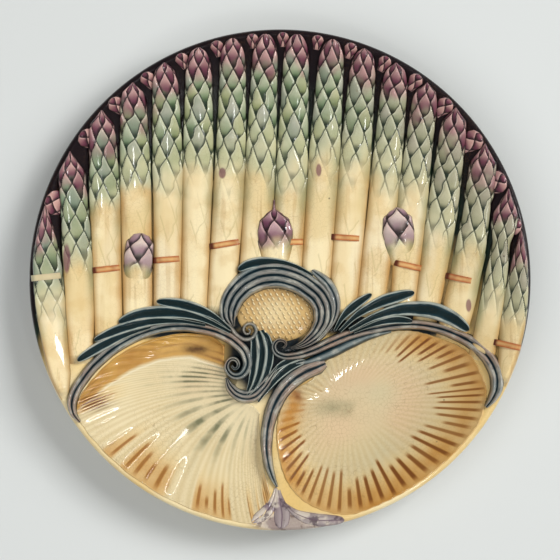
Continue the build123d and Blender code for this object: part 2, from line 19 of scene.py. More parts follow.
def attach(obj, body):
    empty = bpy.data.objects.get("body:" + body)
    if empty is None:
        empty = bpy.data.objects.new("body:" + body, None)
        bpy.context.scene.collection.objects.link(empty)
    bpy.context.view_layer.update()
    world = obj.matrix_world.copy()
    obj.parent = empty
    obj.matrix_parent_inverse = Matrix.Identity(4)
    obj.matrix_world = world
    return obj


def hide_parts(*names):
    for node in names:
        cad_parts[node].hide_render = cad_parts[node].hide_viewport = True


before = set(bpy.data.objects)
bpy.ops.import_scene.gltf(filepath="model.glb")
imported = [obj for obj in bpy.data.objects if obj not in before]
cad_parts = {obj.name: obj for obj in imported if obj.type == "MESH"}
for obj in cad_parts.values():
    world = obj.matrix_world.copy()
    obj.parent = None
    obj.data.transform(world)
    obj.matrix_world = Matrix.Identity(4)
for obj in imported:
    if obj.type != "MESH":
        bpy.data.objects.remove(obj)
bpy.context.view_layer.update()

# %% [markdown]
# ## Sizes and the drawing grid
#
# Everything is in metres, with +Y towards the tips of the spears and +Z up. The ornament was drawn on a
# grid that is laid over the plate: 250 squares to the radius, x to the right and y down. Drawing on such a
# grid and scaling it once is easier to correct than hundreds of points in metres.

# %% Sizes
MM = 0.001
RIM_RADIUS = 120 * MM
PLATE_HEIGHT = 27 * MM
LIP_RADIUS = 2 * MM
FLOOR_RADIUS = 58 * MM
FLOOR_HEIGHT = 11.5 * MM
FOOT_RADIUS = 68 * MM
FOOT_WIDTH = 6.5 * MM
FOOT_HEIGHT = 4.5 * MM
BED_THICKNESS = 2.2 * MM
SHELL_THICKNESS = 1.8 * MM
TIP_REACH = 117.6 * MM
GRID = RIM_RADIUS / 250
GRID_CENTRE = (280.0, 279.5)


def spot(x, y):
    """A point of the drawing grid, in metres."""
    return ((x - GRID_CENTRE[0]) * GRID, (GRID_CENTRE[1] - y) * GRID)


def arc_to_lip(start, height, side):
    """Radius and end of the arc that leaves a level and runs into the round lip, above (1) or below (-1)."""
    run = RIM_RADIUS - LIP_RADIUS - start
    rise = PLATE_HEIGHT - LIP_RADIUS - height
    arc = (run**2 + rise**2 - LIP_RADIUS**2) / (2 * (rise + side * LIP_RADIUS))
    return arc, start + run * arc / (arc + side * LIP_RADIUS)


# Each level: where it starts to turn up, its height there, and the radius and end of its arc.
FACE = (FLOOR_RADIUS, FLOOR_HEIGHT, *arc_to_lip(FLOOR_RADIUS, FLOOR_HEIGHT, 1))
BACK = (FOOT_RADIUS, FOOT_HEIGHT, *arc_to_lip(FOOT_RADIUS, FOOT_HEIGHT, -1))
BED = (FOOT_RADIUS, FOOT_HEIGHT + BED_THICKNESS, *BACK[2:])
FACE_END, BACK_END = FACE[3], BACK[3]


def level(radius, start, height, arc, end):
    """Height of a level at a radius."""
    beyond = max(0.0, min(radius, end) - start)
    return height + arc - sqrt(arc**2 - beyond**2)


print("face ends at", FACE_END / MM, "mm, height", level(FACE_END, *FACE) / MM, "mm")

# %% [markdown]
# ## Writing nodes as sums
#
# Geometry Nodes and shader nodes share the Math node. The class below wraps a socket, so that a formula can
# be written as Python and leaves its nodes behind. It serves both kinds of tree.


# %% A socket in an expression
def tint(red, green, blue):
    """A display colour, 0 to 255, as linear colour for a socket."""
    shares = [channel / 255 for channel in (red, green, blue)]
    return (*[s / 12.92 if s <= 0.04045 else ((s + 0.055) / 1.055) ** 2.4 for s in shares], 1.0)


def plug(node, inputs):
    """Set or link a node's sockets."""
    for key, value in inputs.items():
        if isinstance(value, Wire):
            node.id_data.links.new(value.socket, node.inputs[key])
        else:
            node.inputs[key].default_value = value


def sums(operation):
    """A method that adds one Math node."""
    return lambda wire, *others: wire.maths(operation, *others)


class Wire:
    """A node's socket in a Python expression: each operator adds one Math node."""

    def __init__(self, socket):
        self.socket = socket
        self.tree = socket.id_data

    def node(self, kind, settings=None, inputs=None, out=0):
        """Add a node: its settings first, then the values or links of its sockets."""
        made = self.tree.nodes.new(kind)
        for name, value in (settings or {}).items():
            if name == "captures":
                for label, data_type in value.items():
                    made.capture_items.new(data_type, label)
            else:
                setattr(made, name, value)
        plug(made, inputs or {})
        return Wire(made.outputs[out])

    def also(self, out):
        """Another output of the same node."""
        return Wire(self.socket.node.outputs[out])

    def maths(self, operation, *others):
        """A Math node on this value and others."""
        return self.node("ShaderNodeMath", {"operation": operation}, dict(enumerate((self, *others))))

    def __rsub__(self, other):
        return self.node("ShaderNodeMath", {"operation": "SUBTRACT"}, {0: other, 1: self})

    __add__ = __radd__ = sums("ADD")
    __sub__ = sums("SUBTRACT")
    __mul__ = __rmul__ = sums("MULTIPLY")
    __truediv__ = sums("DIVIDE")
    __pow__ = sums("POWER")
    __abs__ = sums("ABSOLUTE")
    low = sums("MINIMUM")
    high = sums("MAXIMUM")

    def rise(self, start, end):
        """A smooth step from 0 at the start to 1 at the end."""
        inputs = {"Value": self, "From Min": start, "From Max": end}
        return self.node("ShaderNodeMapRange", {"interpolation_type": "SMOOTHSTEP"}, inputs)

    def bell(self, centre, width):
        """A smooth hump that is 1 at the centre."""
        share = (self - centre) / width
        return (share * share * -1).maths("EXPONENT")

    def wave(self):
        """A wave from 1 to 0 and back for each whole step of this value."""
        return (self * (2 * pi)).maths("COSINE") * 0.5 + 0.5

    def paint(self, under, over):
        """Lay one colour over another, with this value as the cover; each is a wire or a display colour."""
        under, over = (side if isinstance(side, Wire) else tint(*side) for side in (under, over))
        return self.node("ShaderNodeMix", {"data_type": "RGBA"}, {0: self, 6: under, 7: over}, out=2)


def split(vector):
    """X, Y and Z of a vector."""
    first = vector.node("ShaderNodeSeparateXYZ", None, {0: vector})
    return first, first.also(1), first.also(2)


def join(*axes):
    """A vector of three values, of which one at least is a wire."""
    wire = next(axis for axis in axes if isinstance(axis, Wire))
    return wire.node("ShaderNodeCombineXYZ", None, dict(enumerate(axes)))


print("Wire is ready for geometry and shader trees")

# %% [markdown]
# ## One tree for everything that lies along a line
#
# Spears, scrolls, leaves, bands and buds are all reliefs along a line on the dished face. A tube is swept
# along the line, with its place along and around kept in captured attributes, and a formula then sets every
# point: the top of the tube becomes the relief's section and its underside a flat root that is sunk into
# the plate. The line's radius carries the half width and its tilt carries the share of the height, so both
# can change along it.


# %% Tools for geometry trees
def new_tree(name, inputs):
    """A geometry tree with named inputs of each kind; gives the tree and a wire for each input."""
    tree = bpy.data.node_groups.new(name, "GeometryNodeTree")
    tree.interface.new_socket("Geometry", in_out="OUTPUT", socket_type="NodeSocketGeometry")
    tree.interface.new_socket("Geometry", in_out="INPUT", socket_type="NodeSocketGeometry")
    for kind, labels in inputs.items():
        for label in labels:
            tree.interface.new_socket(label, in_out="INPUT", socket_type="NodeSocket" + kind)
    source = tree.nodes.new("NodeGroupInput")
    return tree, {socket.name: Wire(socket) for socket in source.outputs if socket.name}


def end_tree(tree, geometry, glaze):
    """Realize instances, set the glaze and end the tree."""
    solid = geometry.node("GeometryNodeRealizeInstances", None, {0: geometry})
    glazed = solid.node("GeometryNodeSetMaterial", None, {"Geometry": solid, "Material": glaze})
    plug(tree.nodes.new("NodeGroupOutput"), {0: glazed})
    print(tree.name, "tree has", len(tree.nodes), "nodes")


def keep(geometry, **values):
    """Store named values on the points, for the glaze to read."""
    for label, value in values.items():
        geometry = geometry.node(
            "GeometryNodeStoreNamedAttribute", {"data_type": "FLOAT", "domain": "POINT"},
            {"Geometry": geometry, "Name": label, "Value": value},
        )
    return geometry


def level_wire(x, y, start, height, arc, end):
    """Height of a level at a place, as nodes."""
    beyond = (((x * x + y * y) ** 0.5).low(end) - start).high(0.0)
    return height + arc - (arc**2 - beyond * beyond) ** 0.5


def ring(start, steps):
    """A small circle that carries its turn, from 0 to 1, as its second output."""
    circle = start.node("GeometryNodeCurvePrimitiveCircle", None, {"Resolution": steps, "Radius": 1 * MM})
    return circle.node(
        "GeometryNodeCaptureAttribute", {"captures": {"turn": "FLOAT"}},
        {0: circle, 1: circle.node("GeometryNodeSplineParameter")},
    )


TOP_SHARE = 0.9
ROOT = 1.6 * MM


def sweep(wires):
    """Sweep a tube along the line; gives the mesh and its values along, across and around."""
    line = wires["Geometry"].node(
        "GeometryNodeResampleCurve", {"mode": "COUNT"},
        {"Curve": wires["Geometry"], "Count": wires["Steps along"]},
    )
    share = line.node("GeometryNodeSplineParameter")
    caught = line.node(
        "GeometryNodeCaptureAttribute",
        {"captures": {"place": "VECTOR", "heading": "VECTOR", "share": "FLOAT", "run": "FLOAT",
                      "half": "FLOAT", "tall": "FLOAT"}},
        {0: line, 1: line.node("GeometryNodeInputPosition"), 2: line.node("GeometryNodeInputTangent"),
         3: share, 4: share.also("Length"), 5: line.node("GeometryNodeInputRadius"),
         6: line.node("GeometryNodeInputCurveTilt")},
    )
    turned = ring(line, wires["Steps round"])
    tube = caught.node(
        "GeometryNodeCurveToMesh", None, {"Curve": caught, "Profile Curve": turned, "Fill Caps": True}
    )
    turn = turned.also(1)
    over = (turn / TOP_SHARE).low(1.0)
    under = (turn - TOP_SHARE).high(0.0) / (1 - TOP_SHARE)
    place_x, place_y, _ = split(caught.also(1))
    head_x, head_y, _ = split(caught.also(2))
    return tube, {
        "x": place_x, "y": place_y, "left_x": head_y * -1, "left_y": head_x,
        "share": caught.also(3), "run": caught.also(4), "half": caught.also(5), "tall": caught.also(6),
        "over": over, "across": (over * pi).maths("COSINE") + under * 2,
        "root": under.maths("GREATER_THAN", 0.0001) * ROOT,
    }


def set_points(tube, x, y, z):
    """Move every point of the tube."""
    return tube.node("GeometryNodeSetPosition", None, {"Geometry": tube, "Position": join(x, y, z)})


print("tools for geometry trees are ready")

# %% The relief tree
RELIEF_INPUTS = {
    "Int": ["Steps along", "Steps round"],
    "Float": ["Height", "Strands", "Shift", "Sharpness", "Groove", "Flatness"],
    "Material": ["Glaze"],
}
relief_tree, wires = new_tree("Relief along a line", RELIEF_INPUTS)
tube, at = sweep(wires)
across = at["across"]
x = at["x"] + at["left_x"] * across * at["half"]
y = at["y"] + at["left_y"] * across * at["half"]
crown = (1 - abs(across).low(1.0) ** wires["Flatness"]).high(0.0) ** 0.5
phase = (across + 1) / 2 * wires["Strands"] + wires["Shift"]
crest = (0.5 - (phase * (2 * pi)).maths("COSINE") * 0.5) ** wires["Sharpness"]
lift = wires["Height"] * at["tall"] * crown * (1 - wires["Groove"] * (1 - crest))
moved = set_points(tube, x, y, level_wire(x, y, *FACE) + lift - at["root"])
end_tree(relief_tree, keep(moved, crest=crest, across=across, run=at["run"]), wires["Glaze"])

# %% [markdown]
# ## One tree for spears, buds and bands
#
# A spear's head is covered with bracts in two crossing spirals. Carving each would take hundreds of meshes,
# so a lattice of two crossing ramps raises them from the same tube: where the ramps meet there is a bract's
# tip, and where they drop there is the wedge under it. Some noise in the lattice keeps the heads from
# looking machined.

# %% The spear tree
SPEAR_INPUTS = {
    "Int": ["Steps along", "Steps round"],
    "Float": ["Height", "Head", "Bract length", "Bract rise", "Bract columns", "Blush", "Turn", "Lift"],
    "Material": ["Glaze"],
}
# Bracts grow longer down the head and wander from the lattice; each starts low, has an edge at its end and
# a keel.
BRACT_STRETCH = 0.3
BRACT_WANDER = 0.27
WANDER_ROUND = 4
WANDER_SCALE = 120.0
BRACT_FOOT = 0.25
BRACT_EDGE = 0.88
BRACT_KEEL = 0.4
BRACTS_END = (0.9, 1.3)
FULL_HALF = 6 * MM
# A spear's sides stand up by a share of its height, which changes from the head to the stem.
HEAD_SIDE = 0.15
STEM_SIDE = 0.4
SIDE_CHANGE = (0.75, 1.3)
ARCH = 0.8
LIFT_ARCH = 0.25
spear_tree, wires = new_tree("Asparagus spear", SPEAR_INPUTS)
tube, at = sweep(wires)
ripe = at["run"] / wires["Head"]
wander = join(at["x"] + at["across"] * WANDER_ROUND * MM, at["y"], wires["Turn"])
wander = wander.node(
    "ShaderNodeTexNoise", None, {"Vector": wander, "Scale": WANDER_SCALE, "Detail": 1.0}
) - 0.5
lattice_along = at["run"] / wires["Bract length"] / (1 + ripe * BRACT_STRETCH) * -1 + wires["Turn"]
lattice_along = lattice_along + wander * BRACT_WANDER * 2
lattice_round = ((at["over"] - 0.5) * 2 + wander * BRACT_WANDER) * wires["Bract columns"]
first = (lattice_along + lattice_round).maths("FRACT")
second = (lattice_along - lattice_round).maths("FRACT")
ramp = BRACT_FOOT + (first + second) * ((1 - BRACT_FOOT) / 2)
step = 1 - first.high(second).rise(BRACT_EDGE, 1.0)
keel = 1 - (first - second) * (first - second) * BRACT_KEEL
bract = wires["Bract rise"] * ramp * step * keel * (1 - ripe.rise(*BRACTS_END))
half = at["half"] + bract * (at["half"] / FULL_HALF).low(1.0)
across = at["across"]
x = at["x"] + at["left_x"] * across * half
y = at["y"] + at["left_y"] * across * half
side = HEAD_SIDE + ripe.rise(*SIDE_CHANGE) * (STEM_SIDE - HEAD_SIDE)
arch = side + (1 - side) * (at["over"] * pi).maths("SINE").high(0.0) ** ARCH
top = (wires["Height"] * at["tall"] + bract) * arch + wires["Lift"] * at["tall"] * arch ** LIFT_ARCH
moved = set_points(tube, x, y, level_wire(x, y, *FACE) + top - at["root"])
moved = keep(
    moved, ripe=ripe, run=at["run"], lattice_along=lattice_along, lattice_round=lattice_round, across=across,
    share=at["share"], blush=at["run"] / wires["Blush"],
)
end_tree(spear_tree, moved, wires["Glaze"])


# %% Curves in, meshes out
def stand(name, data):
    """A new object in the scene."""
    thing = bpy.data.objects.new(name, data)
    bpy.context.scene.collection.objects.link(thing)
    return thing


def draw(name, lines, smooth=True):
    """A curve object of (x, y, half width, height share) lines, in metres."""
    curve = bpy.data.curves.new(name, "CURVE")
    curve.dimensions = "3D"
    curve.resolution_u = 24
    for line in lines:
        spline = curve.splines.new("BEZIER" if smooth else "POLY")
        points = spline.bezier_points if smooth else spline.points
        points.add(len(line) - 1)
        for point, (px, py, half, tall) in zip(points, line):
            point.co = (px, py, 0.0) if smooth else (px, py, 0.0, 1.0)
            point.radius = half
            point.tilt = tall
            if smooth:
                point.handle_left_type = point.handle_right_type = "AUTO"
    return stand(name, curve)


def bake(thing):
    """The plain mesh of an object with its modifiers; the object itself goes."""
    bpy.context.view_layer.update()
    mesh = bpy.data.meshes.new_from_object(thing.evaluated_get(bpy.context.evaluated_depsgraph_get()))
    bpy.data.objects.remove(thing)
    return mesh


def grow(thing, tree, values):
    """Put a tree on an object, set its inputs by their identifiers, and give the plain mesh that it makes."""
    modifier = thing.modifiers.new(tree.name, "NODES")
    modifier.node_group = tree
    for item in tree.interface.items_tree:
        if item.in_out == "INPUT" and item.name in values:
            modifier[item.identifier] = values[item.name]
    return bake(thing)


@contextmanager
def modelled(mesh):
    """Open a mesh for modelling and put the result back."""
    form = bmesh.new()
    form.from_mesh(mesh)
    yield form
    form.to_mesh(mesh)
    form.free()


def outwards(mesh):
    """Turn a closed mesh so that its faces point outwards, and shade it smooth."""
    with modelled(mesh) as form:
        bmesh.ops.remove_doubles(form, verts=form.verts, dist=1e-7)
        if form.calc_volume(signed=True) < 0:
            bmesh.ops.reverse_faces(form, faces=form.faces)
        for face in form.faces:
            face.smooth = True


def settle(name, mesh, slot, *nodes):
    """A finished piece: it rides on the plate and stands for its CAD nodes."""
    outwards(mesh)
    mesh.name = name
    piece = stand(name, mesh)
    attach(piece, "root")
    if nodes:
        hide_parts(*nodes)
    print(name, len(mesh.polygons), "faces")


def lay(name, tree, lines, values, slot, *nodes, smooth=True):
    """Draw lines, run a tree on them and keep the result as a piece."""
    settle(name, grow(draw(name + ".line", lines, smooth), tree, values), slot, *nodes)


def on_grid(*points):
    """A line from drawing-grid points: x, y, half width in squares, and the height share where it isn't 1."""
    return [(*spot(px, py), half * GRID, *(tall or [1])) for px, py, half, *tall in points]


print("drawing tools are ready")

# %% [markdown]
# ## Glazes
#
# Majolica glaze is a clear lead glass with metal oxides in it. It is thin and pale on every ridge and pools
# dark in every groove, it shines, and its surface is slightly wavy and crazed with fine cracks. So each
# finish mixes its colours from the form itself, through attributes that the geometry trees stored, and all
# share one last step that adds crazing, specks, waviness and a clear coat. Some of these colours are painted
# light: painted shade under the bracts, between the stems, along the shells' furrows, round the reliefs'
# edges, at the bands' left ends and among the basket's ticks, and painted highlights on the bracts' edges
# and raised ends.


# %% Shared finish
# Display colours of the glazes.
CREAM = (238, 219, 170)
BUTTER = (226, 192, 122)
AMBER = (184, 124, 42)
BROWN = (104, 50, 6)
OLIVE = (176, 146, 82)
PLUM = (16, 4, 10)
PURPLE = (106, 54, 72)
PINK = (202, 162, 154)
FOREST = (14, 36, 24)
TEAL_BLACK = (8, 22, 28)
TEAL = (24, 56, 66)
STEEL = (132, 141, 138)
PALE = (186, 184, 170)
MAUVE = (170, 142, 122)
LAVENDER = (162, 150, 147)
# The glass itself, and how deep and how wide its waves are.
COAT = 0.9
GLASS = {"Roughness": 0.32, "IOR": 1.52, "Coat Roughness": 0.035, "Coat IOR": 1.6}
WAVE = {"Strength": 0.35, "Distance": 0.4 * MM}
WAVE_SCALE = 160.0
# Its fine cracks and its specks: how dense they are, how wide, and their colours; cracks also bend a
# little.
CRACK_SCALE = 520.0
CRACK_WIDTH = 0.05
CRACK_BEND = 3 * MM
CRACK_BEND_SCALE = 140.0
CRACK_BROWN = (120, 84, 40)
SPECK_SCALE = 95.0
SPECK_WIDTH = (0.03, 0.06)
SPECK_BROWN = (60, 40, 30)


def new_glaze(name):
    """A new material; gives it and the wire of its Object coordinates."""
    material = bpy.data.materials.new(name)
    material.use_nodes = True
    nodes = material.node_tree.nodes
    plug(nodes["Principled BSDF"], GLASS)
    return material, Wire(nodes.new("ShaderNodeTexCoord").outputs["Object"])


def value_of(start, name):
    """A value that the geometry tree stored on the piece."""
    return start.node("ShaderNodeAttribute", {"attribute_name": name}, out="Fac")


def chance_of(number):
    """A random value from 0 to 1 for each whole number."""
    return number.node("ShaderNodeTexWhiteNoise", {"noise_dimensions": "1D"}, {"W": number})


def noise(place, scale, detail, out=0):
    """Noise at a place, as a value or, from the second output, as a colour."""
    return place.node("ShaderNodeTexNoise", None, {"Vector": place, "Scale": scale, "Detail": detail}, out)


def cloud(start, scale, detail=2.0, stretch=None):
    """Soft noise from 0 to 1; stretch scales the axes."""
    if stretch:
        start = start.node("ShaderNodeVectorMath", {"operation": "MULTIPLY"}, {0: start, 1: stretch})
    return noise(start, scale, detail).rise(0.3, 0.7)


def coats(colour, *layers):
    """Lay coats over a colour: each is its cover and its own colour."""
    for cover, over in layers:
        colour = cover.paint(colour, over)
    return colour


def end_glaze(start, colour, craze=0.22, coat=COAT):
    """Add crazing, specks and waviness, and link the finish; the clear coat may be a wire."""
    bent = noise(start, CRACK_BEND_SCALE, 2.0, 1)
    bent = start.node("ShaderNodeVectorMath", {"operation": "SCALE"}, {0: bent, "Scale": CRACK_BEND})
    bent = start.node("ShaderNodeVectorMath", {"operation": "ADD"}, {0: start, 1: bent})
    cracks = start.node(
        "ShaderNodeTexVoronoi", {"feature": "DISTANCE_TO_EDGE"}, {"Vector": bent, "Scale": CRACK_SCALE}
    )
    line = 1 - cracks.rise(0.0, CRACK_WIDTH)
    dots = start.node("ShaderNodeTexVoronoi", None, {"Vector": start, "Scale": SPECK_SCALE})
    speck = (1 - dots.rise(*SPECK_WIDTH)) * cloud(start, 21.0).rise(0.6, 0.9)
    colour = coats(colour, (line * craze * cloud(start, 40.0), CRACK_BROWN), (speck * 0.7, SPECK_BROWN))
    height = noise(start, WAVE_SCALE, 1.0) - line * 0.08
    bump = start.node("ShaderNodeBump", None, {**WAVE, "Height": height})
    plug(start.tree.nodes["Principled BSDF"], {"Base Color": colour, "Normal": bump, "Coat Weight": coat})


def patch(x, y, place, width, depth):
    """A soft oval patch round a place on the drawing grid, with its half sizes in squares."""
    place_x, place_y = spot(*place)
    return x.bell(place_x, width * GRID) * y.bell(place_y, depth * GRID)


def lavender_paint(start):
    """Mottled lavender and cream, with dark specks."""
    return coats(
        LAVENDER,
        (cloud(start, 90.0, 3.0), (132, 114, 120)),
        (cloud(start, 130.0, 3.0).rise(0.45, 0.85) * 0.8, (216, 204, 186)),
        (cloud(start, 240.0, 3.0).rise(0.72, 0.95) * 0.7, (66, 48, 60)),
    )


def ground_paint(start):
    """Glaze between the ornaments: plum at the tips, then green, then cream; and its clear coat."""
    x, y, _ = split(start)
    reach = (TIP_REACH**2 - x * x).high(0.0) ** 0.5
    below = reach - y + (cloud(start, 60.0) - 0.5) * 0.016
    toe = patch(x, y, (296, 521), 50, 11).rise(0.3, 0.6) * (1 - y.rise(-0.108, -0.104))
    under = patch(x, y, (175, 322), 90, 20).high(patch(x, y, (390, 320), 92, 24)).rise(0.3, 0.6)
    middle = patch(x, y, (267, 355), 46, 46).rise(0.25, 0.6).high(under * (1 - (y + 0.012).rise(0.0, 0.004)))
    colour = coats(
        FOREST,
        (below.rise(0.052, 0.072), OLIVE),
        (below.rise(0.070, 0.10), BUTTER),
        (1 - below.rise(0.020, 0.046), PLUM),
        ((y * -1).rise(0.030, 0.055), cloud(start, 30.0).paint(CREAM, BUTTER)),
        (toe * 0.9, lavender_paint(start)),
        (middle, TEAL_BLACK),
    )
    return colour, COAT - middle.high((y + 0.045).rise(0.0, 0.010)) * 0.75


print("glaze tools are ready")

# %% Body glaze
body_glaze, start = new_glaze("body_glaze")
x, y, z = split(start)
radius = (x * x + y * y) ** 0.5
backing = coats(
    (226, 214, 184),
    (cloud(start, 24.0, 4.0), (196, 186, 170)),
    (cloud(start, 11.0, 3.0).rise(0.5, 0.9) * 0.5, (150, 160, 150)),
)
hidden = ((z - 0.5 * radius + 0.036) * -1).rise(0.0, 0.004)
worn = (1 - z.rise(0.0002, 0.0012)) * radius.rise(0.050, 0.058)
ground, ground_coat = ground_paint(start)
body_colour = coats(ground, (hidden, backing), (worn, (176, 140, 104)))
end_glaze(start, body_colour, coat=ground_coat.high(hidden * COAT))
print("body glaze has", len(body_glaze.node_tree.nodes), "nodes")

# %% [markdown]
# ## Glaze of the spears
#
# The painter laid cream on the stems, green on the bracts and plum on the tips, and let them run into each
# other. The lattice that raised the bracts is read back here, so every bract can have its own tone, a dark
# wedge under it of pooled glaze and painted shade, a painted highlight on its edge and painted light on its
# raised end, which an image could not follow so closely. The stems darken towards their sides as painted
# shade in the valleys between them.

# %% Spear glaze
# Drips of plum glaze on the stems: the place and the half sizes on the drawing grid.
DRIPS = [((67, 258), 4, 16), ((222, 172), 4, 6), ((319, 169), 3, 7), ((469, 305), 3, 7)]


def spear_finish(name, skin, lit_bloom):
    """Cream stem, green bracts, dark grooves; tip bracts are dark, paler pink on raised ends as painted
    light.
    """
    material, start = new_glaze(name)
    x, y, _ = split(start)
    ripe = value_of(start, "ripe") + (cloud(start, 55.0) - 0.5) * 0.22
    run = value_of(start, "run") + (cloud(start, 90.0) - 0.5) * 0.006
    along, around = value_of(start, "lattice_along"), value_of(start, "lattice_round")
    first, second = (along + around).maths("FRACT"), (along - around).maths("FRACT")
    chance = chance_of((along + around).maths("FLOOR") * 7.0 + (along - around).maths("FLOOR"))
    rank = (first + second) / 2
    head = 1 - ripe.rise(0.85, 1.2)
    blush = value_of(start, "blush") + (cloud(start, 90.0) - 0.5) * 0.5 + (chance - 0.5) * 0.6
    tip = 1 - blush.rise(0.6, 1.3)
    # Dark lines between the bracts and a dark wedge under each: glaze pooled there, and painted shade.
    groove = 1 - first.low(second).rise(0.02, 0.16 + tip * 0.12)
    dark = groove.high(1 - rank.rise(0.14, 0.40)) * 0.96
    side = abs(value_of(start, "across"))
    vein = cloud(start, 420.0, 1.0, (1.0, 0.05, 1.0)).rise(0.7, 1.0) * cloud(start, 40.0)
    bled = side.rise(0.2, 0.9) * (1 - ripe.rise(1.0, 1.7)) * cloud(start, 32.0, 3.0)
    stem = coats(
        (242, 225, 180),
        (cloud(start, 110.0, 2.0, (1.0, 0.12, 1.0)) * 0.5, (228, 200, 146)),
        (cloud(start, 26.0, 3.0).rise(0.45, 0.9) * 0.4, (206, 174, 104)),
        (cloud(start, 48.0, 3.0, (1.0, 0.5, 1.0)).rise(0.6, 1.0) * 0.35, (240, 230, 200)),
        (cloud(start, 75.0, 4.0).rise(0.5, 1.0) * 0.35, (212, 176, 112)),
        (groove * chance.rise(0.76, 0.78) * ripe.rise(1.1, 1.4) * 0.3, (170, 150, 88)),
        (vein * 0.35, (176, 132, 70)),
        # Tan, amber and brown towards each stem's sides: painted shade in the valleys between stems, with
        # amber glaze in patches.
        (side.rise(0.55, 1.0) * 0.7, (196, 158, 98)),
        (side.rise(0.4, 0.95) * cloud(start, 38.0, 3.0) * 0.7, (180, 132, 66)),
        (side.rise(0.92, 1.0) * 0.6, (150, 116, 62)),
        (bled * 0.75, (112, 136, 100)),
    )
    young = coats(
        (96, 122, 80),
        # Darker green at each bract's foot, under the next bract, and paler towards its raised end: painted
        # shade.
        (rank.rise(0.2, 0.75), (188, 192, 162)),
        (chance.rise(0.7, 0.8) * 0.4, (158, 150, 152)),
        ((1 - chance.rise(0.18, 0.26)) * 0.35, (184, 176, 110)),
        (cloud(start, 130.0) * 0.35, (100, 124, 92)),
        (x.rise(0.02, 0.08) * 0.45, (178, 160, 134)),
        ((x * -1).rise(0.04, 0.10) * 0.4, (104, 128, 106)),
        (ripe.rise(0.55, 1.0) * 0.7, (204, 200, 158)),
    )
    # Tip bracts turn paler pink towards their raised ends: the pink glaze, with painted light.
    pale = rank.rise(0.34, 0.8) * (0.45 + chance * 0.55)
    # A thin pale line along each bract's upper edge: painted highlight.
    edge = first.high(second).rise(0.84, 0.96) * head * (1 - dark) * 0.35
    colour = coats(
        stem,
        (head, tip.paint(young, pale.paint(skin, lit_bloom))),
        (dark * (1 - ripe.rise(0.8, 1.25)), (1 - blush.rise(0.9, 1.9)).paint(FOREST, PLUM)),
        (edge, tip.paint((220, 220, 190), (224, 188, 178))),
        (side.rise(0.9, 0.99) * (1 - ripe.rise(0.9, 1.25)), (1 - run.rise(0.024, 0.042)).paint(FOREST, PLUM)),
        *[(patch(x, y, *drip).rise(0.3, 0.6) * 0.75, (112, 54, 74)) for drip in DRIPS],
    )
    end_glaze(start, colour)
    return material


spear_glaze = spear_finish("spear_glaze", PURPLE, PINK)
bud_glaze = spear_finish("bud_glaze", (104, 56, 78), (204, 166, 170))
pale_bud_glaze = spear_finish("pale_bud_glaze", (150, 118, 128), (220, 202, 188))
rim_glaze = spear_finish("rim_glaze", (108, 54, 72), (206, 162, 150))
print("spear glaze has", len(spear_glaze.node_tree.nodes), "nodes")

# %% Scroll glaze
def scroll_finish(name, pool, thin, blush, thin_from, thin_to):
    """Teal glaze that pools in the grooves and thins to grey, or to a blush, on the ridges."""
    material, start = new_glaze(name)
    rough = cloud(start, 150.0, 3.0)
    crest = value_of(start, "crest") + (rough - 0.5) * 0.16
    across = value_of(start, "across")
    strand = noise(join(across * 2.2, value_of(start, "run") * 45, 0.0), 4.0, 2.0)
    ridge = coats(
        thin,
        (cloud(start, 45.0) * blush, MAUVE),
        (rough.rise(0.6, 1.0) * 0.7, PALE),
        (strand.rise(0.5, 0.68) * 0.65, TEAL),
        ((1 - strand.rise(0.3, 0.4)) * 0.5, PALE),
    )
    colour = coats(
        pool,
        (crest.rise(0.02, thin_from), cloud(start, 70.0).paint(TEAL, (14, 40, 48))),
        (crest.rise(thin_from, thin_to) * 0.94, ridge),
        # Near-black along the outer edges: glaze pooled at the relief's foot, and painted shadow.
        (abs(across).rise(0.955, 0.995), TEAL_BLACK),
    )
    end_glaze(start, colour, craze=0.1, coat=0.15 + crest.rise(0.15, 0.6) * 0.75)
    return material


scroll_glaze = scroll_finish("scroll_glaze", TEAL_BLACK, STEEL, 0.9, 0.24, 0.62)
cartouche_glaze = scroll_finish("cartouche_glaze", TEAL_BLACK, STEEL, 0.45, 0.24, 0.58)
inner_glaze = scroll_finish("inner_glaze", TEAL_BLACK, STEEL, 0.0, 0.5, 1.1)
leaf_glaze = scroll_finish("leaf_glaze", (6, 28, 30), (166, 174, 164), 0.0, 0.3, 0.56)
print("scroll glaze has", len(scroll_glaze.node_tree.nodes), "nodes")

# %% [markdown]
# ## Glaze of the shells
#
# Brown glaze was brushed round each shell's edge and ran down the grooves towards the middle. The shell's
# mesh knows how far out each point is and which rib it is on, so the runs start at the edge, follow the
# grooves, and have a length of their own by chance. Each shell then has accents of its own.

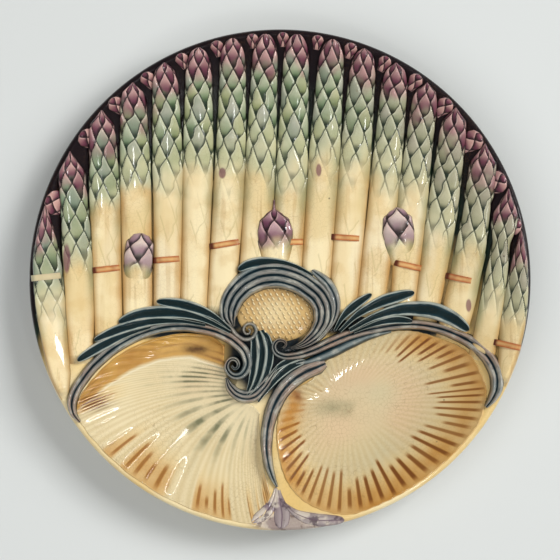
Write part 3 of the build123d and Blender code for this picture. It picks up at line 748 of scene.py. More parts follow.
# %% Shell glaze
def shell_finish(name, clay, lines, longest, strength, streaked, accents):
    """Cream glaze with an amber border and brown runs, so many lines to a rib, in the grooves."""
    material, start = new_glaze(name)
    x, y, _ = split(start)
    reach = value_of(start, "reach")
    line = value_of(start, "rib") * lines
    chance = chance_of((line + 0.5).maths("FLOOR"))
    furrow = line.wave()
    drift = start.node("ShaderNodeTexNoise", {"noise_dimensions": "1D"}, {"W": line * 0.14, "Scale": 1.0})
    cover = streaked(drift.rise(0.3, 0.7), x, y)
    wash = reach.rise(0.56, 0.84) * cover
    run = (reach - longest - chance * 0.2).rise(0.0, 0.06)
    run = run * (1 - (reach + chance * 0.04).rise(0.9, 0.97)) * cover
    wide = 0.85 - strength * 0.25 - chance * 0.25
    colour = coats(
        clay,
        (cloud(start, 35.0) * 0.6, (216, 194, 148)),
        (cloud(start, 18.0).rise(0.3, 1.0) * (1 - reach.rise(0.4, 0.7)) * 0.7, (218, 186, 148)),
        # Slightly darker along every rib's furrow: painted shade.
        (furrow * reach.rise(0.2, 0.5) * 0.35, (190, 164, 112)),
        (wash * (0.1 + strength * 0.8), BUTTER),
        (wash * reach.rise(0.62, 0.88) * (strength * 0.8 + cloud(start, 70.0) * 0.5 - 0.25), AMBER),
        (furrow.rise(0.4, 0.9) * run * 0.9, AMBER),
        (furrow.rise(wide, 0.95) * run * strength, BROWN),
        *accents(start, x, y, furrow),
        (reach.rise(0.955, 0.985) * 0.75, cloud(start, 50.0).paint((236, 216, 166), (206, 160, 84))),
    )
    end_glaze(start, colour, craze=0.4)
    return material


def left_streaks(drift, x, y):
    """Runs in loose groups all round."""
    return drift.rise(0.45, 0.65) * 0.8


def left_accents(start, x, y, furrow):
    """An amber border along the scroll with dark runs in it, and grey-green runs near the hinge."""
    across, down = x / GRID + GRID_CENTRE[0], GRID_CENTRE[1] - y / GRID
    bow = (190 - across).high(0.0)
    depth = down - 334 - bow * bow * 0.0042 - (across - 190).high(0.0) * 0.35
    depth = depth + (cloud(start, 60.0) - 0.5) * 2
    lines = depth.bell(9.0, 1.2).high(depth.bell(16.0, 1.6)) * cloud(start, 40.0, 3.0)
    smear = patch(x, y, (196, 349), 13, 5) * (0.5 + cloud(start, 150.0, 3.0) * 0.8)
    dark_end = patch(x, y, (94, 402), 14, 8) * (0.3 + furrow.rise(0.2, 0.8))
    grey = patch(x, y, (212, 416), 34, 36).high(patch(x, y, (190, 376), 40, 12))
    grey = grey * cloud(start, 75.0, 3.0) * (0.15 + value_of(start, "rib").wave().rise(0.35, 0.95) * 1.2)
    return [
        ((1 - depth.rise(19.0, 23.0)) * 0.92, cloud(start, 60.0, 3.0).paint((206, 158, 74), (172, 116, 36))),
        (lines * 0.8, BROWN),
        (depth.bell(23.5, 0.7) * 0.5, (242, 232, 206)),
        (smear.low(0.9), (66, 34, 14)),
        (dark_end.low(0.9), BROWN),
        (grey.low(0.85), (84, 92, 62)),
    ]


def right_streaks(drift, x, y):
    """Runs close together, but none along the scroll."""
    facing = ((x - 0.030) * 0.55 - (y + 0.058) * 0.83).rise(-0.014, 0.0)
    return (0.6 + drift * 0.4) * facing


def right_accents(start, x, y, furrow):
    """A brown corner beside the divider, and grey-green and rosy patches in the middle."""
    border = patch(x, y, (291, 408), 12, 26) * (0.4 + cloud(start, 90.0, 3.0) * 0.6)
    corner = patch(x, y, (297, 397), 6, 8) * cloud(start, 140.0, 3.0)
    grey = patch(x, y, (340, 409), 22, 9) * cloud(start, 90.0, 4.0)
    rosy = patch(x, y, (352, 380), 24, 16) * cloud(start, 50.0, 3.0)
    return [
        (border.low(0.85), AMBER),
        (corner.low(0.9), (128, 70, 16)),
        ((grey * 0.8).low(0.8), (128, 128, 92)),
        (rosy * 0.4, (206, 164, 132)),
    ]


shell_left_glaze = shell_finish(
    "shell_left_glaze", (228, 212, 170), 3.0, 0.66, 0.6, left_streaks, left_accents
)
shell_right_glaze = shell_finish(
    "shell_right_glaze", (204, 191, 152), 1.0, 0.54, 0.95, right_streaks, right_accents
)
print("left shell's glaze has", len(shell_left_glaze.node_tree.nodes), "nodes")

# %% Band, basket and toe glazes
band_glaze, start = new_glaze("band_glaze")
x, y, z = split(start)
end_glaze(start, coats(
    (222, 176, 112),
    (value_of(start, "share").wave() * 0.85, (176, 84, 30)),
    (cloud(start, 200.0) * 0.55, (134, 56, 18)),
    # Dark brown at each band's left end, away from the light: painted shade.
    (value_of(start, "across").rise(0.55, 0.8), (92, 36, 14)),
    ((x * -1).rise(0.102, 0.104) * 0.8, (206, 198, 160)),
), craze=0.0)

basket_glaze, start = new_glaze("basket_glaze")
x, y, z = split(start)
end_glaze(start, coats(
    # Darker low between the ticks and pale on their raised tops: painted shade.
    (190, 156, 102),
    ((z - FLOOR_HEIGHT).rise(0.0016, 0.0026), (232, 217, 174)),
    (cloud(start, 90.0) * 0.3, BUTTER),
), craze=0.1, coat=0.25)

toe_glaze, start = new_glaze("toe_glaze")
valley = 1 - value_of(start, "crest").rise(0.0, 0.3)
end_glaze(start, valley.paint(lavender_paint(start), (104, 84, 96)), craze=0.1)
print("materials:", len(bpy.data.materials))

# %% [markdown]
# ## Sauce shells
#
# Each shell is a dished fan of ribs. Three guide lines give a rib's start, its bend and its end, so the
# left fan can sweep round its volute while the right one radiates. A grid is mapped on the ribs, sunk below
# the plate's face and furrowed, and its last rows roll over the edge as a lip.

# %% The shell tree
GUIDE_POINTS = 481
LIP_START = 0.94
LIP_WIDTH = 1.5 * MM
POCKET_LIP = 0.2 * MM
LIP_RISE = 0.45 * MM
LIP_FALL = 1.5 * MM
EDGE_RISE = 0.5 * MM
SCALLOP = 0.7
SHELL_INPUTS = {
    "Int": ["Columns", "Rows"], "Float": ["Ribs", "Furrow", "Fan", "Drop", "Lip"],
    "Object": ["Starts", "Bends", "Ends"], "Material": ["Glaze"],
}
shell_tree, wires = new_tree("Ribbed shell", SHELL_INPUTS)
sheet = wires["Columns"].node(
    "GeometryNodeMeshGrid", None,
    {"Size X": 1.0, "Size Y": 1.0, "Vertices X": wires["Columns"], "Vertices Y": wires["Rows"]},
)
around, raw, _ = split(sheet.also("UV Map"))
column = (around * (GUIDE_POINTS - 1)).maths("ROUND")


def guide(label):
    """X and Y of a guide line at the point's column."""
    line = sheet.node(
        "GeometryNodeObjectInfo", {"transform_space": "ORIGINAL"}, {0: wires[label]}, out="Geometry"
    )
    return split(sheet.node(
        "GeometryNodeSampleIndex", {"data_type": "FLOAT_VECTOR", "domain": "POINT"},
        {"Geometry": line, "Value": sheet.node("GeometryNodeInputPosition"), "Index": column},
    ))[:2]


start_x, start_y = guide("Starts")
bend_x, bend_y = guide("Bends")
end_x, end_y = guide("Ends")
reach = (raw / LIP_START).low(1.0)
roll = (raw - LIP_START).high(0.0) / (1 - LIP_START)
back = 1 - reach
out_x, out_y = end_x - bend_x, end_y - bend_y
out_length = (out_x * out_x + out_y * out_y) ** 0.5
rib = around * wires["Ribs"]
furrow = (rib * (2 * pi)).maths("COSINE")
push = (roll * wires["Lip"] - furrow * reach.rise(0.85, 1.0) * wires["Furrow"] * SCALLOP) / out_length
x = start_x * back * back + bend_x * (back * reach * 2) + end_x * reach * reach + out_x * push
y = start_y * back * back + bend_y * (back * reach * 2) + end_y * reach * reach + out_y * push
sides = (1 - around.rise(0.0, 0.06)).high(around.rise(0.9, 1.0)).high(back ** 5) * wires["Fan"]
rim = (reach ** 3.5).high(sides)
floor_level = level_wire(x, y, *BED) + SHELL_THICKNESS
face = level_wire(x, y, *FACE) + EDGE_RISE
dish = floor_level + (face - floor_level) * rim
ripple = furrow * wires["Furrow"] * reach.rise(0.55, 0.95) * (1 - raw.rise(0.9, 0.97))
z = dish - ripple + (roll * pi).maths("SINE") * LIP_RISE - roll * roll * LIP_FALL - wires["Drop"]
end_tree(shell_tree, keep(set_points(sheet, x, y, z), reach=raw, rib=rib), wires["Glaze"])


# %% Guides
def thread(points, closed=False):
    """Evenly stepped points on a smooth line through drawing-grid points."""
    given = np.array([spot(*point) for point in points])
    total = len(given) if closed else len(given) - 1
    at = np.linspace(0, total, GUIDE_POINTS)
    index = np.minimum(at.astype(int), total - 1)
    share = (at - index)[:, None]
    rows = [index + shift for shift in (-1, 0, 1, 2)]
    rows = [row % len(given) if closed else np.clip(row, 0, len(given) - 1) for row in rows]
    a, b, c, d = (given[row] for row in rows)
    square = (2 * a - 5 * b + 4 * c - d) * share**2
    cube = (3 * b - a - 3 * c + d) * share**3
    return (2 * b + (c - a) * share + square + cube) / 2


SHELL_MARGIN = 3.4 * MM


def within_rim(points):
    """Draw points in where they are nearer to the rim than the margin."""
    radii = np.hypot(points[:, 0], points[:, 1])[:, None]
    return points * np.minimum(1.0, (RIM_RADIUS - SHELL_MARGIN) / radii)


left_guides = {
    "Starts": thread([(222, 345), (223, 352), (223, 360), (224, 368), (226, 376), (229, 384), (234, 392),
                      (241, 399), (248, 404), (253, 407), (257, 411), (259, 415)]),
    "Bends": thread([(217, 340), (200, 338), (182, 342), (166, 350), (154, 362), (150, 374), (156, 390),
                     (172, 412), (200, 440), (228, 458), (250, 464), (258, 452)]),
    "Ends": within_rim(thread([(212, 336), (180, 334), (145, 342), (115, 358), (90, 383), (79, 405),
                               (87, 427), (122, 468), (190, 509), (243, 523), (262, 515), (270, 492)])),
}
right_edge = [
    (328, 362), (350, 348), (378, 336), (408, 332), (438, 339), (466, 352), (482, 380), (483, 402),
    (472, 430), (448, 461), (414, 489), (376, 506), (340, 511), (308, 501), (288, 480), (279, 448),
    (280, 418), (292, 394), (313, 381),
]
right_ends = within_rim(thread(right_edge, closed=True))
right_hinge = np.array(spot(347, 405))
right_guides = {
    "Starts": right_hinge + (right_ends - right_hinge) * 1e-4,
    "Bends": right_hinge + (right_ends - right_hinge) * 0.5,
    "Ends": right_ends,
}


def shell_mesh(name, guides, values):
    """Run the shell tree on a set of guides and give the sheet, facing up."""
    lines = {}
    for label, points in guides.items():
        lines[label] = draw(f"{name}.{label}", [[(px, py, 0.0, 0.0) for px, py in points]], smooth=False)
    mesh = grow(stand(name + ".sheet", bpy.data.meshes.new(name)), shell_tree, {**values, **lines})
    for line in lines.values():
        bpy.data.objects.remove(line)
    with modelled(mesh) as form:
        bmesh.ops.remove_doubles(form, verts=form.verts, dist=2e-6)
        form.normal_update()
        if sum(face.normal.z * face.calc_area() for face in form.faces) < 0:
            bmesh.ops.reverse_faces(form, faces=form.faces)
    return mesh


def thicken(name, mesh, thickness):
    """Give a sheet a thickness downwards with a Solidify modifier and return the plain mesh."""
    holder = stand(name + ".wall", mesh)
    wall = holder.modifiers.new("wall", "SOLIDIFY")
    wall.thickness = thickness
    wall.offset = -1.0
    return bake(holder)


def raise_block(mesh, height):
    """Make a sheet a block by raising a copy of it straight up."""
    with modelled(mesh) as form:
        raised = bmesh.ops.extrude_face_region(form, geom=form.faces[:], use_keep_orig=True)["geom"]
        corners = [part for part in raised if isinstance(part, bmesh.types.BMVert)]
        bmesh.ops.translate(form, verts=corners, vec=(0, 0, height))
        bmesh.ops.recalc_face_normals(form, faces=form.faces)
    return mesh


print("guides have", GUIDE_POINTS, "points each")

# %% Shells
WALL = 1.1 * MM
POCKET_ROOM = 0.2 * MM
# Each shell: its guides, its number of ribs and their depth, the share of a fan's sides, and its glaze.
SHELLS = {
    "shell_left": (left_guides, 24.0, 0.26 * MM, 1.0, shell_left_glaze),
    "shell_right": (right_guides, 60.0, 0.16 * MM, 0.0, shell_right_glaze),
}
cutters = []
for name, (guides, ribs, furrow_depth, fan_share, glaze) in SHELLS.items():
    fine = {"Columns": GUIDE_POINTS, "Rows": 84, "Ribs": ribs, "Furrow": furrow_depth, "Fan": fan_share,
            "Drop": 0.0, "Lip": LIP_WIDTH, "Glaze": glaze}
    plain = {**fine, "Columns": 121, "Rows": 24, "Furrow": 0.0, "Drop": WALL + POCKET_ROOM, "Lip": POCKET_LIP}
    settle(name + "_glazed", thicken(name, shell_mesh(name, guides, fine), WALL), "shell_glaze", name)
    cutters.append(raise_block(shell_mesh(name + ".cut", guides, plain), 2 * PLATE_HEIGHT))

# %% [markdown]
# ## The plate's body
#
# A plate is thrown on a wheel or pressed by a turning profile, so its body is a lathe: one outline turned
# round the axis. A cutter with the shape of each shell's underside then opens the pockets, which keeps the
# shells' edges crisp.

# %% The lathe
lathe_tree, wires = new_tree("Lathe", {"Int": ["Steps round"], "Material": ["Glaze"]})
outline = wires["Geometry"].node(
    "GeometryNodeCaptureAttribute", {"captures": {"outline": "VECTOR"}},
    {0: wires["Geometry"], 1: wires["Geometry"].node("GeometryNodeInputPosition")},
)
wheel = ring(outline, wires["Steps round"])
turned = wheel.node("GeometryNodeCurveToMesh", None, {"Curve": wheel, "Profile Curve": outline})
radius, height, _ = split(outline.also(1))
angle = wheel.also(1) * (2 * pi)
turned = set_points(turned, radius * angle.maths("COSINE"), radius * angle.maths("SINE"), height)
turned = turned.node("GeometryNodeMergeByDistance", None, {"Geometry": turned, "Distance": 1e-7})
end_tree(lathe_tree, turned, wires["Glaze"])


FOOT_ROUND = 1.2 * MM


def profile():
    """Outline of the plate, from the middle of its face round the lip to the middle of its back."""
    points = [(0.0, FLOOR_HEIGHT), (FLOOR_RADIUS * 0.5, FLOOR_HEIGHT)]
    points += [(r, level(r, *FACE)) for r in np.linspace(FLOOR_RADIUS, FACE_END, 50)]
    lip_x, lip_z = RIM_RADIUS - LIP_RADIUS, PLATE_HEIGHT - LIP_RADIUS
    top = atan2(points[-1][1] - lip_z, points[-1][0] - lip_x)
    low = atan2(level(BACK_END, *BACK) - lip_z, BACK_END - lip_x)
    turns = np.linspace(top, low, 14)[1:-1]
    points += [(lip_x + LIP_RADIUS * cos(turn), lip_z + LIP_RADIUS * sin(turn)) for turn in turns]
    points += [(r, level(r, *BACK)) for r in np.linspace(BACK_END, FOOT_RADIUS + 1e-6, 40)]
    for centre, start in ((FOOT_RADIUS - FOOT_ROUND, 0), (FOOT_RADIUS - FOOT_WIDTH + FOOT_ROUND, 270)):
        turns = [radians(start - step) for step in range(0, 91, 15)]
        points += [(centre + FOOT_ROUND * cos(turn), FOOT_ROUND + FOOT_ROUND * sin(turn)) for turn in turns]
    return points + [(r, FOOT_HEIGHT) for r in (FOOT_RADIUS - FOOT_WIDTH, FOOT_RADIUS * 0.5, 0.0)]


# %% Body
drawn = draw("body.line", [[(r, z, 0.0, 0.0) for r, z in profile()]], smooth=False)
body_mesh = grow(drawn, lathe_tree, {"Steps round": 384, "Glaze": body_glaze})
outwards(body_mesh)
turned_body = stand("body.turned", body_mesh)
pocket_tools = []
for cutter_mesh in cutters:
    outwards(cutter_mesh)
    tool = stand("pocket.tool", cutter_mesh)
    cut = turned_body.modifiers.new("pocket", "BOOLEAN")
    cut.operation = "DIFFERENCE"
    cut.solver = "EXACT"
    cut.object = tool
    pocket_tools.append(tool)
body_mesh = bake(turned_body)
for tool in pocket_tools:
    bpy.data.objects.remove(tool)
body_mesh.materials.clear()
body_mesh.materials.append(body_glaze)
settle("plate_glazed", body_mesh, "body_glaze", "plate_body", "foot_ring")

# %% [markdown]
# ## Asparagus
#
# Seventeen spears fill the upper part side by side. Each takes the lane that its neighbours leave, is a
# little slimmer along its head than along its stem, and ends in a blunt tip on one circle inside the lip.
# The bracts are a lattice of diamonds round the head: each ramps up to its own tip, which lies over the
# next ones, so the glaze pools in the wedge under it; the glaze's colour darkens that wedge as pooled glaze
# and painted shade.

# %% Spear lines
# Each spear: x of its tip, a waist point, its foot, and the length of its head in squares of the drawing
# grid.
SPEARS = [
    (46.5, (49.5, 285), (63.5, 387), 100), (71, (76, 230), (81, 352), 108),
    (102.5, (105, 220), (108, 330), 92), (133.5, (135, 190), (137, 316), 96),
    (165, (167, 170), (166, 306), 112), (199, (197, 180), (193, 306), 118),
    (233, (229, 180), (220, 306), 130), (266, (260, 170), (255, 270), 130),
    (297, (292, 165), (287, 270), 134), (332.5, (324, 165), (316, 282), 120),
    (364, (354, 180), (343, 308), 114), (395.5, (386, 180), (371, 306), 110),
    (426.5, (414, 195), (404, 300), 110), (455, (443, 210), (427, 314), 116),
    (484, (471.5, 245), (454, 328), 108), (507.5, (497, 270), (483, 349), 100),
    (520, (515, 300), (503, 374), 84),
]
SPEAR_HALF = 7.6 * MM
SPEAR_HEIGHT = 4.1 * MM
SPEAR_GAP = -0.2 * MM
HEAD_SLIM = 0.76
HEAD_TAPER = 1.2
TIP_LENGTH = 14 * MM
TIP_BLUNT = 0.3 * MM
TIP_LOW = 0.3
# A head spreads by a share of the run beside the last bit of its neighbour's tip, and past it.
TIP_ROUND = 6 * MM
TIP_SPREAD = 0.35
FOOT_REACH = 5.5 * MM
BRACT_LENGTH = 10.6 * MM


def spear_points(number):
    """Foot, waist and tip of a spear."""
    tip_x, waist, foot, _ = SPEARS[number]
    x = spot(tip_x, 0)[0]
    return spot(*foot), spot(*waist), (x, sqrt(TIP_REACH**2 - x**2))


def centre_x(number, y):
    """X of a spear's centre line: a parabola through its three points."""
    points = spear_points(number)
    total = 0.0
    for mine, (x, y_mine) in enumerate(points):
        for other, (_, y_other) in enumerate(points):
            if other != mine:
                x *= (y - y_other) / (y_mine - y_other)
        total += x
    return total


def lane_half(number, y):
    """Half of the lane that a spear has between its neighbours and the rim."""
    x = centre_x(number, y)
    room = [SPEAR_HALF]
    for other in (number - 1, number + 1):
        if 0 <= other < len(SPEARS):
            past_tip = max(0.0, y - spear_points(other)[2][1] + TIP_ROUND)
            room.append(abs(centre_x(other, y) - x) / 2 + TIP_SPREAD * past_tip)
    room.append(sqrt((RIM_RADIUS - LIP_RADIUS / 2) ** 2 - y**2) - abs(x))
    return min(room) - SPEAR_GAP / 2


def ease(value, start, end):
    """A smooth step from 0 to 1."""
    share = min(1.0, max(0.0, (value - start) / (end - start)))
    return share * share * (3 - 2 * share)


def spear_line(number, steps=64):
    """The line of one spear from its tip to its foot, with its half width and height share."""
    foot, _, tip = spear_points(number)
    head = SPEARS[number][3] * GRID
    length = tip[1] - foot[1]
    line = []
    for step in range(steps + 1):
        run = (length + FOOT_REACH) * (step / steps) ** 1.3
        y = tip[1] - run
        end = max(0.0, 1 - (1 - min(1.0, (run + TIP_BLUNT) / TIP_LENGTH)) ** 2.2) ** 0.5
        slim = HEAD_SLIM + (1 - HEAD_SLIM) * ease(run, 0.0, head * HEAD_TAPER)
        dip = 1 - ease(run, length, length + FOOT_REACH)
        half = max(0.5 * MM, lane_half(number, y)) * slim * end
        line.append((centre_x(number, y), y, half, (TIP_LOW + (1 - TIP_LOW) * end) * dip))
    return line


print(len(SPEARS), "spears, the first is", 2 * max(half for _, _, half, _ in spear_line(0)) / MM, "mm wide")

# %% Spears
for number, (_, _, _, head) in enumerate(SPEARS):
    lay(
        f"spear_{number + 1:02d}_glazed", spear_tree, [spear_line(number)],
        {"Steps along": 250, "Steps round": 54, "Height": SPEAR_HEIGHT, "Head": head * GRID,
         "Bract length": BRACT_LENGTH, "Bract rise": 0.9 * MM, "Bract columns": 1.5, "Blush": 16 * MM,
         "Turn": 0.37 * number, "Lift": 0.0, "Glaze": spear_glaze},
        "spear_glaze", f"spear_{number + 1:02d}", smooth=False,
    )

# %% [markdown]
# ### Buds, tips and bands
#
# Three short buds lie on the bundle, points of a back row show at the rim, and an orange band is modelled
# on every other stem. All are short or bare spears, so they come from the same tree with other sizes.

# %% Buds
BUDS = {
    "bud_left": [(141, 231.5, 1.5, 0.5), (140.5, 234.5, 8, 0.8), (139.5, 242, 13), (138, 255, 14.5),
                 (137, 269, 13.5, 0.8), (136, 288, 9, 0.45)],
    "bud_middle": [(274, 199, 0.7, 0.5), (274, 208, 1.4, 0.6), (274, 212.5, 8, 0.8), (274.3, 219, 14.5),
                   (275, 230, 17.5), (275.5, 244, 17, 0.9), (276, 264, 14, 0.7)],
    "bud_right": [(397, 206.5, 1.5, 0.5), (397.5, 209.5, 7.5, 0.8), (398, 217, 14), (399, 231, 16),
                  (400.5, 245, 14.5, 0.8), (402, 264, 10, 0.45)],
}
PALE_HEAD = 18 * MM
DARK_HEAD = 20 * MM
BUD = {"Steps along": 160, "Steps round": 54, "Height": 2.7 * MM, "Bract rise": 0.6 * MM, "Turn": 0.1,
       "Lift": 3.8 * MM}
PALE_BUD = {**BUD, "Head": PALE_HEAD, "Bract length": 11 * MM, "Bract columns": 1.0, "Blush": PALE_HEAD * 0.9,
            "Glaze": pale_bud_glaze}
DARK_BUD = {**BUD, "Head": DARK_HEAD, "Bract length": 8 * MM, "Bract columns": 1.5, "Blush": DARK_HEAD * 2,
            "Glaze": bud_glaze}
for name, line in BUDS.items():
    values = DARK_BUD if name == "bud_middle" else PALE_BUD
    lay(name + "_glazed", spear_tree, [on_grid(*line)], values, "purple_glaze", name)

# %% Rim tips
# Each tip: a point on its line from the middle of the plate, and its size.
RIM_TIPS = [
    (46.5, 199, 1.9), (80, 132, 1.5), (112, 100, 1.2), (146, 76, 1.1), (181, 57, 1.0), (216, 43, 1.0),
    (252, 35, 0.9), (283, 34, 0.9), (318, 38, 0.9), (352, 44, 1.0), (385, 61, 1.0), (417, 78, 1.1),
    (448, 102, 1.3), (479, 136, 1.6), (504, 178, 1.8), (520.5, 223, 1.5),
]
# The line of a tip of size 1: millimetres in from its point, half width and share of the height.
TIP_FORM = ((0.0, 1.0, 0.6), (0.8, 2.6, 0.9), (2.4, 3.3, 1.0), (7.5, 1.4, 0.3))
POINT_REACH = 0.8 * MM
tip_lines = []
for px, py, scale in RIM_TIPS:
    x, y = spot(px, py)
    outward = np.array((x, y)) / hypot(x, y)
    tip_lines.append([
        (*(outward * (TIP_REACH + POINT_REACH - inward * scale * MM)), half * scale * MM, tall)
        for inward, half, tall in TIP_FORM
    ])
lay(
    "rim_tips_glazed", spear_tree, tip_lines,
    {"Steps along": 40, "Steps round": 30, "Height": 1.7 * MM, "Head": 40 * MM, "Bract length": 7 * MM,
     "Bract rise": 0.25 * MM, "Bract columns": 1.0, "Blush": 40 * MM, "Turn": 0.55, "Lift": 0.0,
     "Glaze": rim_glaze},
    "purple_glaze", "rim_tips",
)

# %% Stem bands
# Each band: the two ends of its middle line on the drawing grid.
BANDS = [
    ((33, 278), (61, 275)), ((92, 270), (119, 267)), ((152, 260), (179, 258)), ((209, 246), (239, 241)),
    ((279, 241.5), (303, 241)), ((331, 236), (361, 238)), ((395, 262), (422, 268)), ((446, 275), (474, 281)),
    ((492, 341), (519, 347)),
]
BAND_HALF = 3.0
BAND_SIDE = 0.5
BAND_RISE = 0.8 * MM
FIRST_BAND = 1.04
band_lines = []
for (left_x, left_y), (right_x, right_y) in BANDS:
    wide = hypot(right_x - left_x, right_y - left_y)
    step_x, step_y = (right_y - left_y) / wide, -(right_x - left_x) / wide
    middle_x, middle_y = (left_x + right_x) / 2, (left_y + right_y) / 2
    tall = 1.0 if band_lines else FIRST_BAND
    band_lines.append(on_grid(*[
        (middle_x + step_x * along, middle_y + step_y * along, wide / 2 + BAND_SIDE, tall)
        for along in (-BAND_HALF, -BAND_HALF / 3, BAND_HALF / 3, BAND_HALF)
    ]))
lay(
    "stem_bands_glazed", spear_tree, band_lines,
    {"Steps along": 24, "Steps round": 54, "Height": SPEAR_HEIGHT + BAND_RISE, "Head": 1e-5,
     "Bract length": 1.0, "Bract rise": 0.0, "Bract columns": 1.0, "Blush": 1.0, "Turn": 0.0, "Lift": 0.0,
     "Glaze": band_glaze},
    "band_glaze", "stem_bands",
)

# %% [markdown]
# ## Scrolls and leaves
#
# The rococo work is all strands: ridges that run side by side, spring from a volute and part into leaves.
# The relief tree makes each of them from one line. With a shift of a half, the ridges lie on a leaf's edges
# and its middle is hollow, as the modeller's tool leaves it.

# %% Scrolls
LEFT_RIDGE = [
    (231, 366, 1.4, 0.9), (235, 369, 1.8, 0.95), (238, 364, 2.2), (233, 359, 2.6), (227, 363, 2.9),
    (228, 372, 3.4), (237, 376.5, 4.2), (246, 369, 5.2), (246, 356, 6.0), (236, 343, 6.2),
    (220, 333.5, 6.2), (200, 328, 6.0), (176, 326, 6.0), (150, 330.5, 6.0), (124, 341.5, 6.2),
    (101, 358, 6.2), (83.5, 378, 6.0), (73.5, 398, 5.4), (74.5, 412, 3.8, 0.9), (81, 421, 1.4, 0.6),
]
RIGHT_RIDGE = [
    (283, 348, 1.2, 0.8), (286, 344, 1.6, 0.9), (281, 340, 2.2), (275, 343, 2.8), (274.5, 350, 3.3),
    (281, 355.5, 3.8), (294, 356, 4.2), (312, 351, 5.2), (332, 342, 6.0), (354, 333.5, 6.0),
    (378, 328, 5.6), (404, 324.5, 5.2), (430, 326, 5.4), (456, 334, 6.2), (478, 347, 7.0),
    (492, 364, 7.4), (496, 384, 6.8), (491, 398, 4.6), (485, 406, 2.0, 0.7),
]
# Carving that no solid stands for.
OWN_CARVING = ("scroll_right_inner", "centre_lobes", "cartouche_leaf", "cartouche_side")


def carve(name, lines, values, slot="scroll_glaze", smooth=True):
    """A piece of the relief tree, which stands for the solid of its name if there is one."""
    nodes = () if name in OWN_CARVING else (name,)
    lay(name + "_glazed", relief_tree, lines, values, slot, *nodes, smooth=smooth)


RIDGES = {"Shift": 0.0, "Sharpness": 0.65, "Groove": 0.34, "Flatness": 5.0}
HOLLOW = {"Strands": 1.0, "Shift": 0.5, "Sharpness": 2.0, "Groove": 0.2, "Flatness": 9.0}
SCROLL = {**RIDGES, "Steps along": 420, "Steps round": 60, "Height": 4.4 * MM, "Strands": 2.0,
          "Glaze": scroll_glaze}
carve("scroll_left", [on_grid(*LEFT_RIDGE)], SCROLL)
carve("scroll_right", [on_grid(*RIGHT_RIDGE)], SCROLL)
carve(
    "scroll_right_inner",
    [on_grid((296, 364, 1.6, 0.8), (312, 361, 4.2), (332, 353, 5.4), (352, 343.5, 5.0), (372, 336, 3.4),
             (392, 331.5, 1.4, 0.8))],
    {**SCROLL, "Steps along": 160, "Height": 3.4 * MM, "Strands": 1.0, "Glaze": inner_glaze},
)

# %% Leaves
# Each leaf: its half width, then the points of its spine from root to tip.
LEAVES = {
    "leaf_left_1": (6.4, (230, 329), (215, 317), (198, 309), (178, 303.5), (156, 301)),
    "leaf_left_2": (7.2, (230, 332), (206, 320), (183, 313.5), (158, 312), (136, 315), (118, 322)),
    "leaf_left_3": (5.8, (205, 325), (180, 321), (154, 321), (130, 325.5), (110, 332.5), (94, 340)),
    "leaf_left_4": (6.0, (150, 327), (128, 333.5), (110, 341), (94, 349.5), (78, 360)),
    "leaf_right_1": (5.2, (335, 330), (343, 317), (354, 306), (372, 293.5)),
    "leaf_right_2": (6.8, (340, 331), (357, 315), (378, 303), (397, 296.5), (415, 292)),
    "leaf_right_3": (9.0, (350, 330), (374, 317), (402, 309), (430, 309.5), (451, 317), (469, 330)),
    "leaf_right_4": (4.6, (354, 332), (376, 323.5), (396, 319.5), (413, 321)),
}


# A leaf's half width at its root, where it is full, where its end starts to round, the least at its tip,
# and how many guide points lie between the points of its line.
LEAF_ROOT = 0.3
LEAF_FULL = 0.65
LEAF_ROUND = 0.6
LEAF_TIP = 0.08
LEAF_STEP = 8


def leaf_line(half, *spine):
    """A leaf along drawing-grid points: it widens slowly from its root and ends in a blunt tip."""
    points = thread(spine)[::LEAF_STEP]
    line = []
    for (x, y), share in zip(points, np.linspace(0.0, 1.0, len(points))):
        swell = LEAF_ROOT + (1 - LEAF_ROOT) * ease(share, 0.0, LEAF_FULL)
        blunt = sqrt(max(0.0, 1 - max(0.0, (share - LEAF_ROUND) / (1 - LEAF_ROUND)) ** 2.6))
        line.append((x, y, half * GRID * swell * max(LEAF_TIP, blunt), 1 - 0.1 * ease(share, 0.9, 1.0)))
    return line


LEAF = {**HOLLOW, "Steps along": 160, "Steps round": 48, "Height": 6.3 * MM, "Glaze": leaf_glaze}
for name, (half, *spine) in LEAVES.items():
    carve(name, [leaf_line(half, *spine)], LEAF, smooth=False)

# %% Middle
carve(
    "centre_leaf",
    [on_grid((258, 331, 6.0, 0.7), (260, 338, 10.5), (262, 350, 12.5), (261, 364, 12.0), (257, 380, 9.5),
             (251, 391, 5.5, 0.9), (247, 396, 2.0, 0.7))],
    {**HOLLOW, "Steps along": 120, "Steps round": 60, "Height": 4.4 * MM, "Strands": 3.0, "Groove": 0.4,
     "Glaze": leaf_glaze},
)
carve(
    "centre_swirl",
    [on_grid((226, 378, 1.5, 0.7), (230, 388, 5.0), (240, 396, 6.5), (252, 396, 7.0), (262, 388, 6.0),
             (271, 376, 4.0), (278, 366, 1.6, 0.7))],
    {**RIDGES, "Steps along": 160, "Steps round": 60, "Height": 3.6 * MM, "Strands": 3.0,
     "Glaze": scroll_glaze},
)
carve(
    "centre_lobes",
    [leaf_line(4.6, (258, 402), (268, 389), (279, 376), (292, 366), (306, 361)),
     leaf_line(3.6, (270, 376), (277, 368), (287, 362), (300, 359))],
    {**LEAF, "Height": 3.2 * MM}, smooth=False,
)
carve(
    "divider",
    [on_grid((326, 363.5, 4.0, 0.7), (319, 366.5, 8.0), (304, 373, 8.5), (288, 385, 8.5), (276, 402, 8.0),
             (269, 422, 7.0), (266.5, 442, 6.2), (268, 462, 5.0), (272, 476, 3.6, 0.9),
             (277, 487, 1.4, 0.6))],
    {**RIDGES, "Steps along": 240, "Steps round": 56, "Height": 4.0 * MM, "Strands": 2.0, "Groove": 0.25,
     "Flatness": 4.0, "Glaze": scroll_glaze},
)

